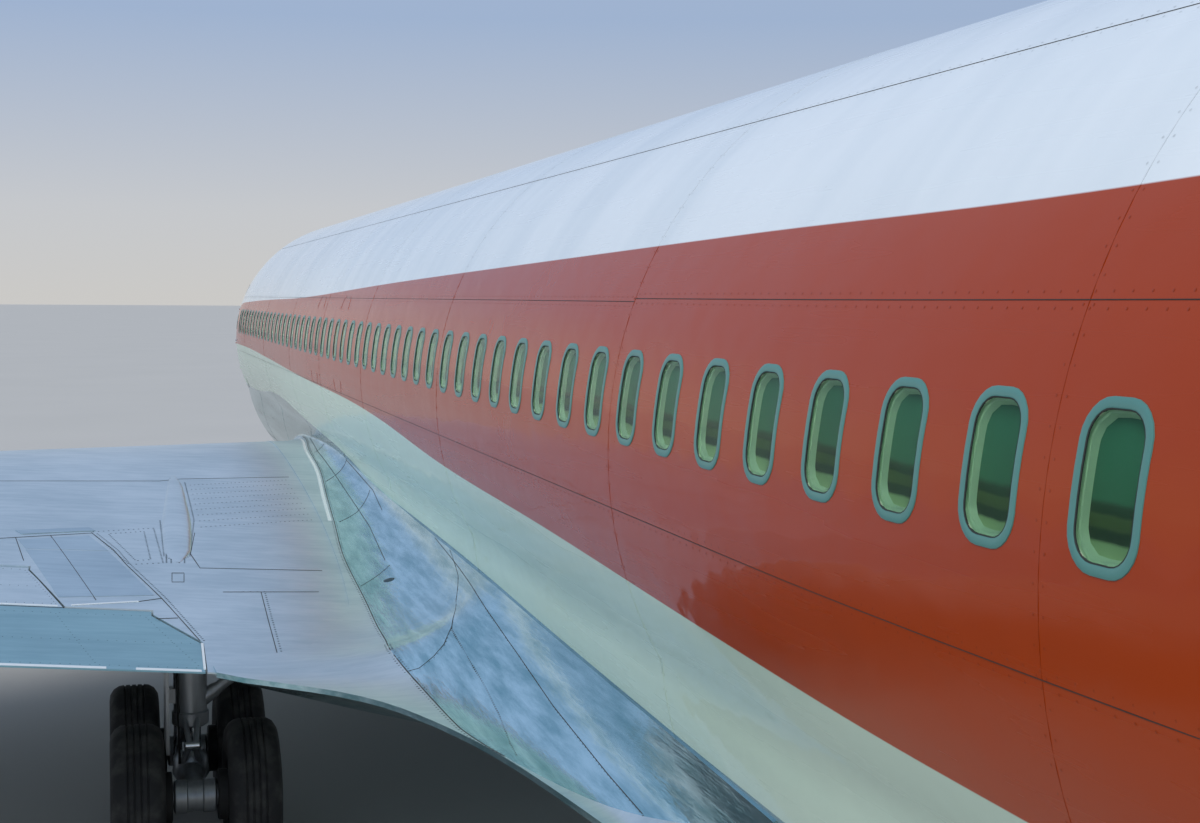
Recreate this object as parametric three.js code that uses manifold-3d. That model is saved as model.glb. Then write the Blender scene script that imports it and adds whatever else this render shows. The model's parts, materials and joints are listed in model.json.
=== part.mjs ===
// A four-engined, swept-wing, narrow-body airliner of the 1960s, standing on its gear, at half size.
// Every length below is a millimetre of the full-size aircraft; the outer group halves it.
// X points to the aircraft's left, Y points aft and Z points up from the ground.
// A station is a distance aft of the nose tip, and a level is a height above the round upper body's centre.
import * as THREE from "three";
import { mergeVertices } from "three/addons/utils/BufferGeometryUtils.js";
import Module from "manifold-3d";

const wasm = await Module();
wasm.setup();

// Driving dimensions
const MODEL_SCALE = 1 / 2;
const OVERALL_LENGTH = 46610;
const SEAT_GAP = 0.7; // between pieces that are fastened or fit together
const MOVING_GAP = 12; // round each piece that moves
const SPARE = 100; // how far a cutter reaches past what it cuts

const BODY_CENTRE_Z = 3870; // upper lobe's centre above the ground
const BODY_RADIUS = 1880; // upper lobe
const BODY_DEPTH = 2450; // upper lobe's centre down to the keel
const CREASE_DROP = 950;
const LOWER_LOBE_DROP = 823;
const LOWER_LOBE_RADIUS = 1627;

const WING_INNER_X = 1200;
const WING_TIP_X = 22210;
const WING_KINK_X = 8300;
const WING_ROOT_STATION = 13200; // leading edge at the body's side
const WING_SWEEP = 0.7845; // leading edge, aft for each unit out
const WING_BACK_STATION = 25900; // trailing edge inboard of the kink
const WING_BACK_SWEEP = 0.446; // trailing edge outboard of the kink
const WING_LEVEL = -1620; // trailing edge at WING_LEVEL_X
const WING_LEVEL_X = 4000;
const DIHEDRAL = { inner: 0.09, outer: 0.125 }; // rise for each unit out, either side of the kink
const INCIDENCE = { root: 0.6, tip: -1.0 }; // degrees
const THICKNESS = { root: 0.096, tip: 0.09 }; // for each unit of chord

const TAIL_TIP_X = 6975;
const FIN_TOP_Z = 12930;

const MAIN_GEAR = { x: 3365, station: 22300, truck: 710, spread: 440, radius: 585, width: 410 };
const NOSE_GEAR = { station: 4320, spread: 300, radius: 495, width: 330 };

const COLOURS = {
  white: { color: 0xe9eaec, roughness: 0.35, metalness: 0.0 },
  bare: { color: 0xa9adb3, roughness: 0.32, metalness: 0.9 },
  grey: { color: 0x8b929b, roughness: 0.5, metalness: 0.3 },
  radome: { color: 0x2c2d30, roughness: 0.5, metalness: 0.0 },
  glass: { color: 0x1c2126, roughness: 0.08, metalness: 0.0 },
  steel: { color: 0x6d7176, roughness: 0.4, metalness: 0.8 },
  rubber: { color: 0x1b1b1c, roughness: 0.85, metalness: 0.0 },
};

// Plain helpers

const yOf = (station) => station - OVERALL_LENGTH / 2;
const zOf = (level) => BODY_CENTRE_Z + level;
const lerp = (a, b, t) => a + (b - a) * t;

// Turns a closed geometry into a solid whose faces point out.
function solidOf(geometry) {
  const bare = geometry.clone();
  bare.deleteAttribute("normal");
  bare.deleteAttribute("uv");
  const merged = mergeVertices(bare, 1e-3);
  const make = (triVerts) =>
    new wasm.Manifold(
      new wasm.Mesh({
        numProp: 3,
        vertProperties: new Float32Array(merged.attributes.position.array),
        triVerts,
      }),
    );
  const corners = new Uint32Array(merged.index.array);
  const made = make(corners);
  if (made.volume() > 0) return made;
  for (let i = 0; i < corners.length; i += 3) {
    [corners[i + 1], corners[i + 2]] = [corners[i + 2], corners[i + 1]];
  }
  return make(corners);
}

function geometryOf(solid) {
  const mesh = solid.getMesh();
  const indexed = new THREE.BufferGeometry();
  indexed.setAttribute("position", new THREE.BufferAttribute(mesh.vertProperties, 3));
  indexed.setIndex(new THREE.BufferAttribute(mesh.triVerts, 1));
  const flat = indexed.toNonIndexed();
  flat.computeVertexNormals();
  return flat;
}

const join = (...solids) => solids.reduce((sum, next) => sum.add(next));
const cut = (solid, ...cutters) => cutters.reduce((rest, cutter) => rest.subtract(cutter), solid);

// A closed skin through rings of equally many points, with flat ends across the named axis.
function loft(rings, acrossAxis) {
  const count = rings[0].length;
  const positions = [];
  const corners = [];
  for (const ring of rings) {
    for (const point of ring) positions.push(point.x, point.y, point.z);
  }
  for (let r = 0; r + 1 < rings.length; r++) {
    for (let i = 0; i < count; i++) {
      const j = (i + 1) % count;
      const here = r * count;
      const next = here + count;
      corners.push(here + i, here + j, next + j, here + i, next + j, next + i);
    }
  }
  const flat = (p) =>
    acrossAxis === "x"
      ? new THREE.Vector2(p.y, p.z)
      : acrossAxis === "y"
        ? new THREE.Vector2(p.x, p.z)
        : new THREE.Vector2(p.x, p.y);
  const cap = THREE.ShapeUtils.triangulateShape(rings[0].map(flat), []);
  const backCap = THREE.ShapeUtils.triangulateShape(rings[rings.length - 1].map(flat), []);
  const last = (rings.length - 1) * count;
  const turned = capTurns(rings[0].map(flat), cap[0]);
  for (const [a, b, c] of cap) {
    if (turned) corners.push(a, c, b);
    else corners.push(a, b, c);
  }
  for (const [a, b, c] of backCap) {
    if (turned) corners.push(last + a, last + b, last + c);
    else corners.push(last + a, last + c, last + b);
  }
  const geometry = new THREE.BufferGeometry();
  geometry.setAttribute("position", new THREE.Float32BufferAttribute(positions, 3));
  geometry.setIndex(corners);
  return solidOf(geometry);
}

// True where a cap's triangle runs the same way round as its ring, so that it has to be turned.
function capTurns(points, triangle) {
  const [a, b, c] = triangle.map((i) => points[i]);
  const triangleArea = (b.x - a.x) * (c.y - a.y) - (b.y - a.y) * (c.x - a.x);
  return triangleArea * THREE.ShapeUtils.area(points) > 0;
}

// A smooth curve through table rows that never overshoots: value at "at" of column "key".
function smoothColumn(rows, key, at) {
  const last = rows.length - 1;
  if (at <= rows[0].station) return rows[0][key];
  if (at >= rows[last].station) return rows[last][key];
  const i = rows.findIndex((row, k) => k < last && at < rows[k + 1].station);
  const slope = (k) =>
    (rows[k + 1][key] - rows[k][key]) / (rows[k + 1].station - rows[k].station);
  const tangent = (k) => {
    if (k === 0) return slope(0);
    if (k === last) return slope(last - 1);
    const before = slope(k - 1);
    const after = slope(k);
    return before * after <= 0 ? 0 : (2 * before * after) / (before + after);
  };
  const width = rows[i + 1].station - rows[i].station;
  const t = (at - rows[i].station) / width;
  const start = rows[i][key] * (1 + 2 * t) * (1 - t) ** 2 + rows[i + 1][key] * t * t * (3 - 2 * t);
  return start + width * (tangent(i) * t * (1 - t) ** 2 - tangent(i + 1) * t * t * (1 - t));
}

// A frame on a hinge line: along it, aft of it and up from it.
function hingeFrame(from, to, aftHint) {
  const along = to.clone().sub(from).normalize();
  const aft = aftHint.clone().addScaledVector(along, -aftHint.dot(along)).normalize();
  const up = along.clone().cross(aft);
  return { origin: from, along, aft, up, length: to.distanceTo(from) };
}

const frameMatrix = (frame) =>
  new THREE.Matrix4().makeBasis(frame.aft, frame.up, frame.along).setPosition(frame.origin);

// A prism along a hinge line, from an outline of [aft, up] points.
function prism(frame, outline, start, end) {
  const shape = new THREE.Shape(outline.map(([aft, up]) => new THREE.Vector2(aft, up)));
  const geometry = new THREE.ExtrudeGeometry(shape, { depth: end - start, bevelEnabled: false });
  geometry.translate(0, 0, start);
  return solidOf(geometry.applyMatrix4(frameMatrix(frame)));
}

// A round bar or cone along a hinge line.
function bar(frame, startRadius, endRadius, start, end, sides) {
  const geometry = new THREE.CylinderGeometry(endRadius, startRadius, end - start, sides);
  geometry.rotateX(Math.PI / 2);
  geometry.translate(0, 0, (start + end) / 2);
  return solidOf(geometry.applyMatrix4(frameMatrix(frame)));
}

// The sides start aft of the tube, or for a lengthways tube above it.
function tube(from, to, radius, sides = 10, turn = 0) {
  const along = to.clone().sub(from).normalize();
  const hint = new THREE.Vector3(0, 1, 0);
  if (Math.abs(along.y) > 0.9) hint.set(0, 0, 1);
  const frame = hingeFrame(from, to, hint.applyAxisAngle(along, turn));
  return bar(frame, radius, radius, 0, frame.length, sides);
}

function block(x, y, z) {
  const geometry = new THREE.BoxGeometry(x[1] - x[0], y[1] - y[0], z[1] - z[0]);
  geometry.translate((x[0] + x[1]) / 2, (y[0] + y[1]) / 2, (z[0] + z[1]) / 2);
  return solidOf(geometry);
}

// A hole's radius whose flats clear a pin's corners by the seat gap.
const holeRadius = (pinRadius, sides) => (pinRadius + SEAT_GAP) / Math.cos(Math.PI / sides);

// A hole for a pin of the same number of sides, turned half a side so that corners meet flats.
const bore = (from, to, pinRadius, sides) =>
  tube(from, to, holeRadius(pinRadius, sides), sides, Math.PI / sides);

// Fuselage

const BODY_ROWS = [
  // station, half width, top, bottom, level of the widest line, how much of the crease there is
  [0, 25, -700, -745, -722, 0],
  [120, 215, -505, -935, -720, 0],
  [350, 390, -330, -1115, -710, 0],
  [950, 720, -40, -1450, -670, 0],
  [1900, 1110, 330, -1800, -560, 0.1],
  [3000, 1430, 1200, -2080, -390, 0.3],
  [4500, 1690, 1620, -2310, -200, 0.6],
  [6200, 1830, 1810, -2420, -60, 0.9],
  [8000, 1880, 1880, -2450, 0, 1],
  [31000, 1880, 1880, -2450, 0, 1],
  [33500, 1860, 1880, -2280, 10, 0.95],
  [36000, 1740, 1865, -1880, 60, 0.8],
  [38500, 1450, 1790, -1280, 210, 0.5],
  [41000, 1050, 1640, -580, 450, 0.2],
  [43000, 650, 1440, 60, 700, 0],
  [44000, 380, 1270, 450, 850, 0],
  [44350, 170, 1110, 690, 900, 0],
].map(([station, half, top, bottom, middle, crease]) => ({
  station,
  half,
  top,
  bottom,
  middle,
  crease,
}));

const UPPER_STEPS = 8;
const LOWER_STEPS = 5;

// The left half of the body's section from crown to keel, each way as a fraction of its reach.
const HALF_SECTION = [];
const creaseAngle = Math.asin(-CREASE_DROP / BODY_RADIUS);
for (let i = 0; i <= UPPER_STEPS; i++) {
  const angle = lerp(Math.PI / 2, creaseAngle, i / UPPER_STEPS);
  HALF_SECTION.push([BODY_RADIUS * Math.cos(angle), BODY_RADIUS * Math.sin(angle)]);
}
const lowerStart = Math.asin((LOWER_LOBE_DROP - CREASE_DROP) / LOWER_LOBE_RADIUS);
for (let i = 1; i <= LOWER_STEPS; i++) {
  const angle = lerp(lowerStart, -Math.PI / 2, i / LOWER_STEPS);
  HALF_SECTION.push([
    LOWER_LOBE_RADIUS * Math.cos(angle),
    LOWER_LOBE_RADIUS * Math.sin(angle) - LOWER_LOBE_DROP,
  ]);
}

function bodyRing(station, grow) {
  const value = (key) => smoothColumn(BODY_ROWS, key, station);
  const half = value("half") + grow;
  const above = value("top") - value("middle") + grow;
  const below = value("middle") - value("bottom") + grow;
  const left = HALF_SECTION.map(([x, z]) => {
    const across = x / BODY_RADIUS;
    const rise = z > 0 ? z / BODY_RADIUS : z / BODY_DEPTH;
    const turn = Math.atan2(rise, across);
    const px = half * lerp(Math.cos(turn), across, value("crease"));
    const rises = lerp(Math.sin(turn), rise, value("crease"));
    const pz = value("middle") + rises * (rises > 0 ? above : below);
    return new THREE.Vector3(px, yOf(station), zOf(pz));
  });
  const right = left.slice(1, -1).reverse().map((p) => new THREE.Vector3(-p.x, p.y, p.z));
  return [...left, ...right];
}

// A bay between rows is halved where it is curved and long; rings this near to an end are left out.
const HALVED_BAY = { over: 600, under: 2000 };
const RING_CLEAR = 30;

function bodyLoft(from, to, grow = 0) {
  const inner = [];
  for (let k = 0; k + 1 < BODY_ROWS.length; k++) {
    const start = BODY_ROWS[k].station;
    const width = BODY_ROWS[k + 1].station - start;
    const parts = width > HALVED_BAY.over && width < HALVED_BAY.under ? 2 : 1;
    for (let i = 0; i < parts; i++) inner.push(start + (width * i) / parts);
  }
  const between = inner.filter((s) => s > from + RING_CLEAR && s < to - RING_CLEAR);
  const stations = [from, ...between, to];
  return loft(stations.map((s) => bodyRing(s, grow)), "y");
}

const RADOME_END = 950;
const NOSE_END = 5250;
const FORWARD_END = 12300;
const CENTRE_END = 28300;
const AFT_END = 37900;
const BODY_END = 44350;

// A length of the body that stops half a seat gap short of its neighbours.
const span = (from, to) =>
  bodyLoft(from + (from > 0 ? SEAT_GAP / 2 : 0), to - (to < BODY_END ? SEAT_GAP / 2 : 0));

const DOOR_DEPTH = 900; // of the slab that is cut out for it
const DOOR_CURVE_STEPS = 4;

// A rounded upright slab through the body's side, for a door.
function doorSlab(door, grow) {
  const halfLong = door.width / 2 + grow;
  const halfHigh = door.height / 2 + grow;
  const corner = door.corner + grow;
  const shape = new THREE.Shape();
  shape.moveTo(-halfLong + corner, -halfHigh);
  shape.lineTo(halfLong - corner, -halfHigh);
  shape.quadraticCurveTo(halfLong, -halfHigh, halfLong, -halfHigh + corner);
  shape.lineTo(halfLong, halfHigh - corner);
  shape.quadraticCurveTo(halfLong, halfHigh, halfLong - corner, halfHigh);
  shape.lineTo(-halfLong + corner, halfHigh);
  shape.quadraticCurveTo(-halfLong, halfHigh, -halfLong, halfHigh - corner);
  shape.lineTo(-halfLong, -halfHigh + corner);
  shape.quadraticCurveTo(-halfLong, -halfHigh, -halfLong + corner, -halfHigh);
  const geometry = new THREE.ExtrudeGeometry(shape, {
    depth: DOOR_DEPTH,
    bevelEnabled: false,
    curveSegments: DOOR_CURVE_STEPS,
  });
  const axes = new THREE.Matrix4().makeBasis(
    new THREE.Vector3(0, 1, 0),
    new THREE.Vector3(0, 0, 1),
    new THREE.Vector3(1, 0, 0),
  );
  const inside = door.inside - grow;
  axes.setPosition(inside, yOf(door.station), zOf(door.level));
  const slab = solidOf(geometry.applyMatrix4(axes));
  return door.side > 0 ? slab : slab.mirror([1, 0, 0]);
}

const DOORS = [
  // name, side (left is 1), station of its middle, level of its middle, width, height
  ["door_forward_left", 1, 6000, 10, 860, 1830],
  ["door_aft_left", 1, 36050, 60, 860, 1830],
  ["door_forward_right", -1, 6000, -40, 610, 1220],
  ["door_aft_right", -1, 36050, 10, 610, 1220],
].map(([name, side, station, level, width, height]) => ({
  name,
  side,
  station,
  level,
  width,
  height,
  corner: 180,
  inside: 1480,
}));

const GLAZING_OUTLINE = [
  // station and level round the flight deck's windows, seen from the side
  [1450, 300],
  [4150, 470],
  [4150, 900],
  [3350, 1090],
  [2950, 1130],
  [2350, 1500],
];

const GLAZING_MIDDLE = [2900, 760];
const GLAZING_SLANT = 1.6; // its edges lie aslant, so a corner moves this much further than an edge
const GLAZING_REACH = 2000; // past the body on either side

function glazingSlab(grow) {
  const [middle, level] = GLAZING_MIDDLE;
  const points = GLAZING_OUTLINE.map(([s, l]) => {
    const reach = Math.hypot(s - middle, l - level);
    const factor = 1 + (grow * GLAZING_SLANT) / reach;
    return [yOf(middle + (s - middle) * factor), zOf(level + (l - level) * factor)];
  });
  const frame = {
    origin: new THREE.Vector3(),
    along: new THREE.Vector3(1, 0, 0),
    aft: new THREE.Vector3(0, 1, 0),
    up: new THREE.Vector3(0, 0, 1),
  };
  return prism(frame, points, -GLAZING_REACH, GLAZING_REACH);
}

// Wing and tail surfaces

// Chord fractions of a surface's section, and the half thickness there for a thickness of 1.
const CHORD_STEPS = [0, 0.012, 0.05, 0.13, 0.27, 0.45, 0.64, 0.82, 1];
const EDGE_HALF = 5; // trailing edge

function halfThickness(u) {
  const curve =
    0.2969 * Math.sqrt(u) - 0.126 * u - 0.3516 * u ** 2 + 0.2843 * u ** 3 - 0.1036 * u ** 4;
  return 5 * curve;
}

// The same, read off the straight lines between the chord steps.
function facetHalf(u) {
  const i = Math.min(
    CHORD_STEPS.findIndex((step, k) => k === CHORD_STEPS.length - 2 || u < CHORD_STEPS[k + 1]),
    CHORD_STEPS.length - 2,
  );
  const t = (u - CHORD_STEPS[i]) / (CHORD_STEPS[i + 1] - CHORD_STEPS[i]);
  return lerp(halfThickness(CHORD_STEPS[i]), halfThickness(CHORD_STEPS[i + 1]), t);
}

// rows: span, leading and trailing edge stations, their two levels, and thickness.
function foilPoint(foil, row, u, half) {
  const y = yOf(lerp(row.front, row.back, u));
  const middle = lerp(row.frontLevel, row.backLevel, u);
  if (foil.upright) return new THREE.Vector3(half, y, row.span);
  return new THREE.Vector3(row.span, y, zOf(middle) + half);
}

function foilRing(foil, row, grow) {
  const wide = { ...row, front: row.front - grow, back: row.back + grow };
  const half = (u) => row.thickness * halfThickness(u) + EDGE_HALF * u + grow;
  const upper = CHORD_STEPS.map((u) => foilPoint(foil, wide, u, u === 0 ? 0 : half(u)));
  const lower = CHORD_STEPS.map((u) => foilPoint(foil, wide, u, -half(u)));
  return [...upper.reverse(), ...lower.slice(1)];
}

function foilLoft(foil, grow = 0) {
  const last = foil.rows.length - 1;
  const rings = foil.rows.map((row, i) => {
    const shift = i === 0 ? -grow : i === last ? grow : 0;
    return foilRing(foil, { ...row, span: row.span + shift }, grow);
  });
  return loft(rings, foil.upright ? "z" : "x");
}

function rowAt(foil, at) {
  const i = Math.max(
    0,
    Math.min(
      foil.rows.findIndex((row, k) => k === foil.rows.length - 2 || at < foil.rows[k + 1].span),
      foil.rows.length - 2,
    ),
  );
  const [a, b] = [foil.rows[i], foil.rows[i + 1]];
  const t = (at - a.span) / (b.span - a.span);
  const mix = (key) => lerp(a[key], b[key], t);
  return {
    span: at,
    front: mix("front"),
    back: mix("back"),
    frontLevel: mix("frontLevel"),
    backLevel: mix("backLevel"),
    thickness: mix("thickness"),
  };
}

// A point of a surface by span and station: side 1 is the upper skin, 0 the middle, -1 the lower skin.
function skinPoint(foil, at, station, side) {
  const row = rowAt(foil, at);
  const u = (station - row.front) / (row.back - row.front);
  const half = row.thickness * facetHalf(u) + EDGE_HALF * u;
  return { point: foilPoint(foil, row, u, side * half), half };
}

const TIP_TAPER = { front: 0.6, back: 0.4 }; // how much of a lost chord each edge gives up

function wingRow(x, chordShare, thicknessShare) {
  const front = WING_ROOT_STATION + (x - BODY_RADIUS) * WING_SWEEP;
  const back = WING_BACK_STATION + Math.max(0, x - WING_KINK_X) * WING_BACK_SWEEP;
  const share = (x - BODY_RADIUS) / (WING_TIP_X - BODY_RADIUS);
  const chord = back - front;
  const incidence = lerp(INCIDENCE.root, INCIDENCE.tip, share) * (Math.PI / 180);
  const inner = Math.min(x, WING_KINK_X) - WING_LEVEL_X;
  const outer = Math.max(x - WING_KINK_X, 0);
  const backLevel = WING_LEVEL + inner * DIHEDRAL.inner + outer * DIHEDRAL.outer;
  return {
    span: x,
    front: front + (1 - chordShare) * chord * TIP_TAPER.front,
    back: back - (1 - chordShare) * chord * TIP_TAPER.back,
    frontLevel: backLevel + chord * Math.sin(incidence),
    backLevel,
    thickness: chord * lerp(THICKNESS.root, THICKNESS.tip, share) * thicknessShare,
  };
}

const WING = {
  upright: false,
  rows: [
    // span, share of its chord, share of its thickness
    [WING_INNER_X, 1, 1],
    [WING_KINK_X, 1, 1],
    [14500, 1, 1],
    [WING_TIP_X - 500, 1, 1],
    [WING_TIP_X - 150, 0.93, 0.72],
    [WING_TIP_X, 0.8, 0.3],
  ].map(([x, chordShare, thicknessShare]) => wingRow(x, chordShare, thicknessShare)),
};

const STABILISER = {
  upright: false,
  rows: [
    // span, leading edge, trailing edge, level, thickness
    [350, 39120, 43650, 480, 470],
    [900, 39600, 43900, 550, 440],
    [TAIL_TIP_X - 250, 44550, 46500, 1265, 175],
    [TAIL_TIP_X, 45200, 46610, 1300, 60],
  ].map(([at, front, back, level, thickness]) => ({
    span: at,
    front,
    back,
    frontLevel: level,
    backLevel: level,
    thickness,
  })),
};

const FIN = {
  upright: true,
  rows: [
    // span is the height above the ground
    [zOf(900), 35900, 42650, 640],
    [zOf(1750), 36600, 42900, 600],
    [FIN_TOP_Z - 260, 42120, 44950, 260],
    [FIN_TOP_Z, 42700, 44900, 90],
  ].map(([at, front, back, thickness]) => ({
    span: at,
    front,
    back,
    frontLevel: 0,
    backLevel: 0,
    thickness,
  })),
};

// The aerial that points forward from the fin's tip.
const PROBE_Z = FIN_TOP_Z - 170;
const PROBE_SIDES = 8;
const PROBE_PROFILE = [
  // station and radius
  [40900, 0],
  [40905, 14],
  [41500, 26],
  [42150, 52],
  [42700, 70],
  [43100, 30],
  [43150, 0],
];

// Pieces hinged to a surface. A flap turns down about a low hinge, a spoiler up about a high one,
// and a rudder, elevator or aileron both ways about the middle.
const HINGED = [
  // name, surface, kind, hinge start (span, station), hinge end, reach aft, and how far its inner end
  // runs inboard over which distance aft of the hinge
  ["flap_inboard", WING, "flap", 3740, 24700, 7850, 24700, 2600, 310, 630],
  ["aileron_inboard", WING, "both", 8010, 24700, 9130, 24700, 2600, 0, 2600],
  ["flap_outboard", WING, "flap", 9900, 25370, 14600, 27620, 2600, 0, 2600],
  ["aileron_outboard", WING, "both", 15200, 27950, 19600, 30050, 2600, 0, 2600],
  ["spoiler_inboard", WING, "spoiler", 4560, 23640, 7600, 23640, 985, 270, 985],
  ["spoiler_outboard", WING, "spoiler", 10250, 24420, 14150, 26290, 950, 0, 950],
  ["elevator", STABILISER, "both", 1350, 42780, 6350, 45600, 2600, 0, 2600],
  ["rudder", FIN, "both", zOf(2150), 41450, FIN_TOP_Z - 750, 43980, 3600, 0, 3600],
].map(([name, foil, kind, startSpan, startStation, endSpan, endStation, reach, slant, slantReach]) => ({
  name,
  foil,
  kind,
  startSpan,
  startStation,
  endSpan,
  endStation,
  reach,
  slant,
  slantReach,
}));

const HINGE = {
  flap: { side: -1, inset: 38, nose: 36, pin: 18, pinReach: 70 },
  spoiler: { side: 1, inset: 32, nose: 28, pin: 13, pinReach: 60 },
  both: { side: 0, inset: 0, nose: 0, pin: 18, pinReach: 60 },
};
const PIN_SIDES = 6;
const NOSE_SIDES = 10;
const TALL = 900; // well past any surface's skins
const SPOILER_THICK = [62, 20]; // at its hinge and at its trailing edge
const SPOILER_DROP = 12; // its foot falls this far over its reach, as the skin does
const SLANT_LEAD = 60; // a slanted inner end runs straight for this far aft of its hinge

const SKIN_RUN = 1200; // how far aft of a hinge the skin's direction is taken
const NOSE_INSIDE = 3; // how far a round nose stays inside the skins

// The hinge line, and a frame on it whose aft axis follows the skin there.
function frameOfHinge(piece) {
  const kind = HINGE[piece.kind];
  const at = (s, station) => {
    const found = skinPoint(piece.foil, s, station, kind.side);
    found.point.z -= kind.side * kind.inset;
    return found;
  };
  const start = at(piece.startSpan, piece.startStation);
  const end = at(piece.endSpan, piece.endStation);
  const behind = skinPoint(piece.foil, piece.startSpan, piece.startStation + SKIN_RUN, kind.side);
  behind.point.z -= kind.side * kind.inset;
  const hint = piece.foil.upright
    ? new THREE.Vector3(0, 1, 0)
    : behind.point.clone().sub(start.point);
  const frame = hingeFrame(start.point, end.point, hint);
  const noses = kind.nose
    ? [kind.nose, kind.nose]
    : [start.half - NOSE_INSIDE, end.half - NOSE_INSIDE];
  return { frame, noses };
}

// The hinged piece's own region, or with "grow" the pocket that it needs.
function hingedRegion(piece, { frame, noses }, grow) {
  const { kind, slant, slantReach } = piece;
  const tilt = Math.atan2(slant, slantReach - SLANT_LEAD);
  const start = -grow / Math.cos(tilt);
  const end = frame.length + grow;
  const round = (radius) => (grow ? (radius + grow) / Math.cos(Math.PI / NOSE_SIDES) : radius);
  const nose = bar(frame, round(noses[0]), round(noses[1]), start, end, NOSE_SIDES);
  const reach = piece.reach + grow;
  const face = -noses[0] - grow;
  const [front, back] = SPOILER_THICK.map((thick) => HINGE.spoiler.inset - thick - grow);
  const outlines = {
    both: [[0, -TALL], [reach, -TALL], [reach, TALL], [0, TALL]],
    flap: [[0, -TALL], [reach, -TALL], [reach, TALL], [face, TALL], [face, 0], [0, 0]],
    spoiler: [[0, front], [reach, back - SPOILER_DROP], [reach, TALL], [0, TALL]],
  };
  let panel = prism(frame, outlines[kind], start - slant, end);
  if (slant > 0) panel = panel.intersect(slantedPlan(piece, frame, start, end));
  const whole = join(nose, panel);
  if (kind !== "spoiler" || grow === 0) return whole;
  const mouth = [[face, 0], [0, 0], [0, TALL], [face, TALL]];
  return join(whole, prism(frame, mouth, start, end));
}

// What lies outboard of a slanted inner end, seen from above.
function slantedPlan({ slant, slantReach, reach }, frame, start, end) {
  const above = {
    origin: frame.origin,
    along: frame.up,
    aft: frame.aft,
    up: frame.along.clone().negate(),
  };
  const ahead = -2 * MOVING_GAP - SPARE;
  const behind = reach + SPARE;
  const out = end + SPARE;
  const outline = [
    [ahead, out],
    [ahead, start],
    [SLANT_LEAD, start],
    [slantReach, start - slant],
    [behind, start - slant],
    [behind, out],
  ].map(([aft, along]) => [aft, -along]);
  return prism(above, outline, -TALL - 1, TALL + 1);
}

function hingePins(piece, frame, radius, deeper) {
  const { pinReach } = HINGE[piece.kind];
  const inner = pinReach + deeper;
  const outer = pinReach + MOVING_GAP;
  return [
    bar(frame, radius, radius, -outer, inner, PIN_SIDES),
    bar(frame, radius, radius, frame.length - inner, frame.length + outer, PIN_SIDES),
  ];
}

// Cuts the hinged pieces out of a whole surface and leaves their pins on it.
function splitSurface(foil, whole) {
  const pieces = HINGED.filter((piece) => piece.foil === foil).map((piece) => {
    const hinge = frameOfHinge(piece);
    const moving = hingedRegion(piece, hinge, 0);
    const pocket = hingedRegion(piece, hinge, MOVING_GAP);
    return { piece, hinge, moving, pocket };
  });
  const spoilerPockets = pieces.filter((p) => p.piece.kind === "spoiler").map((p) => p.pocket);
  let fixed = whole;
  const parts = [];
  for (const { piece, hinge, moving, pocket } of pieces) {
    fixed = fixed.subtract(pocket);
    let part = whole.intersect(moving);
    if (piece.kind === "flap") part = cut(part, ...spoilerPockets);
    const { pin } = HINGE[piece.kind];
    const bores = hingePins(piece, hinge.frame, holeRadius(pin, PIN_SIDES), SEAT_GAP);
    parts.push({ name: piece.name, at: hinge.frame.origin, solid: cut(part, ...bores) });
  }
  for (const { piece, hinge } of pieces) {
    const { pin } = HINGE[piece.kind];
    fixed = join(fixed, ...hingePins(piece, hinge.frame, pin, 0));
  }
  return { fixed, parts };
}

// Wing root fillet

const FILLET_ROWS = [
  // station, level of its top line on the body, outer edge, level of its foot on the body
  [12450, -1480, 1640, -1800],
  [13250, -1270, 1990, -2080],
  [15000, -1080, 2080, -2290],
  [17800, -1000, 2140, -2360],
  [21500, -1110, 2190, -2370],
  [24300, -1170, 2320, -2370],
  [25300, -1190, 2700, -2360],
  [25860, -1200, 3390, -2350],
  [26400, -1215, 2820, -2330],
  [27000, -1235, 2390, -2290],
  [28100, -1265, 2040, -2150],
  [29600, -1300, 1800, -1900],
  [30600, -1330, 1660, -1700],
].map(([station, top, edge, foot]) => ({ station, top, edge, foot }));

const FILLET_PROUD = 45; // above and below the wing's skins
const FILLET_LIP = 30; // thickness where it lies on the body
const FILLET_ROOT = 320; // how far its section reaches into the body before it is cut
const FILLET_STEPS = 3;
const FILLET_TAIL_LEVEL = -1650;
const FILLET_TAIL_HALF = 45;
const FILLET_BEHIND_EDGE = 60; // it takes the wing's skins from here aft of the leading edge
const FILLET_PULL = {
  // where its hollow's control point lies between its two ends, across and down
  upper: [0.25, 0.85],
  lower: [0.5, 0.65],
};

// A point that stands off the body's side at a level, straight out from its lobe's centre.
function offBody(level, outward) {
  const [centre, radius] =
    level > -CREASE_DROP ? [0, BODY_RADIUS] : [-LOWER_LOBE_DROP, LOWER_LOBE_RADIUS];
  const across = Math.sqrt(radius ** 2 - (level - centre) ** 2);
  const factor = (radius + outward) / radius;
  return new THREE.Vector2(across * factor, centre + (level - centre) * factor);
}

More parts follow.
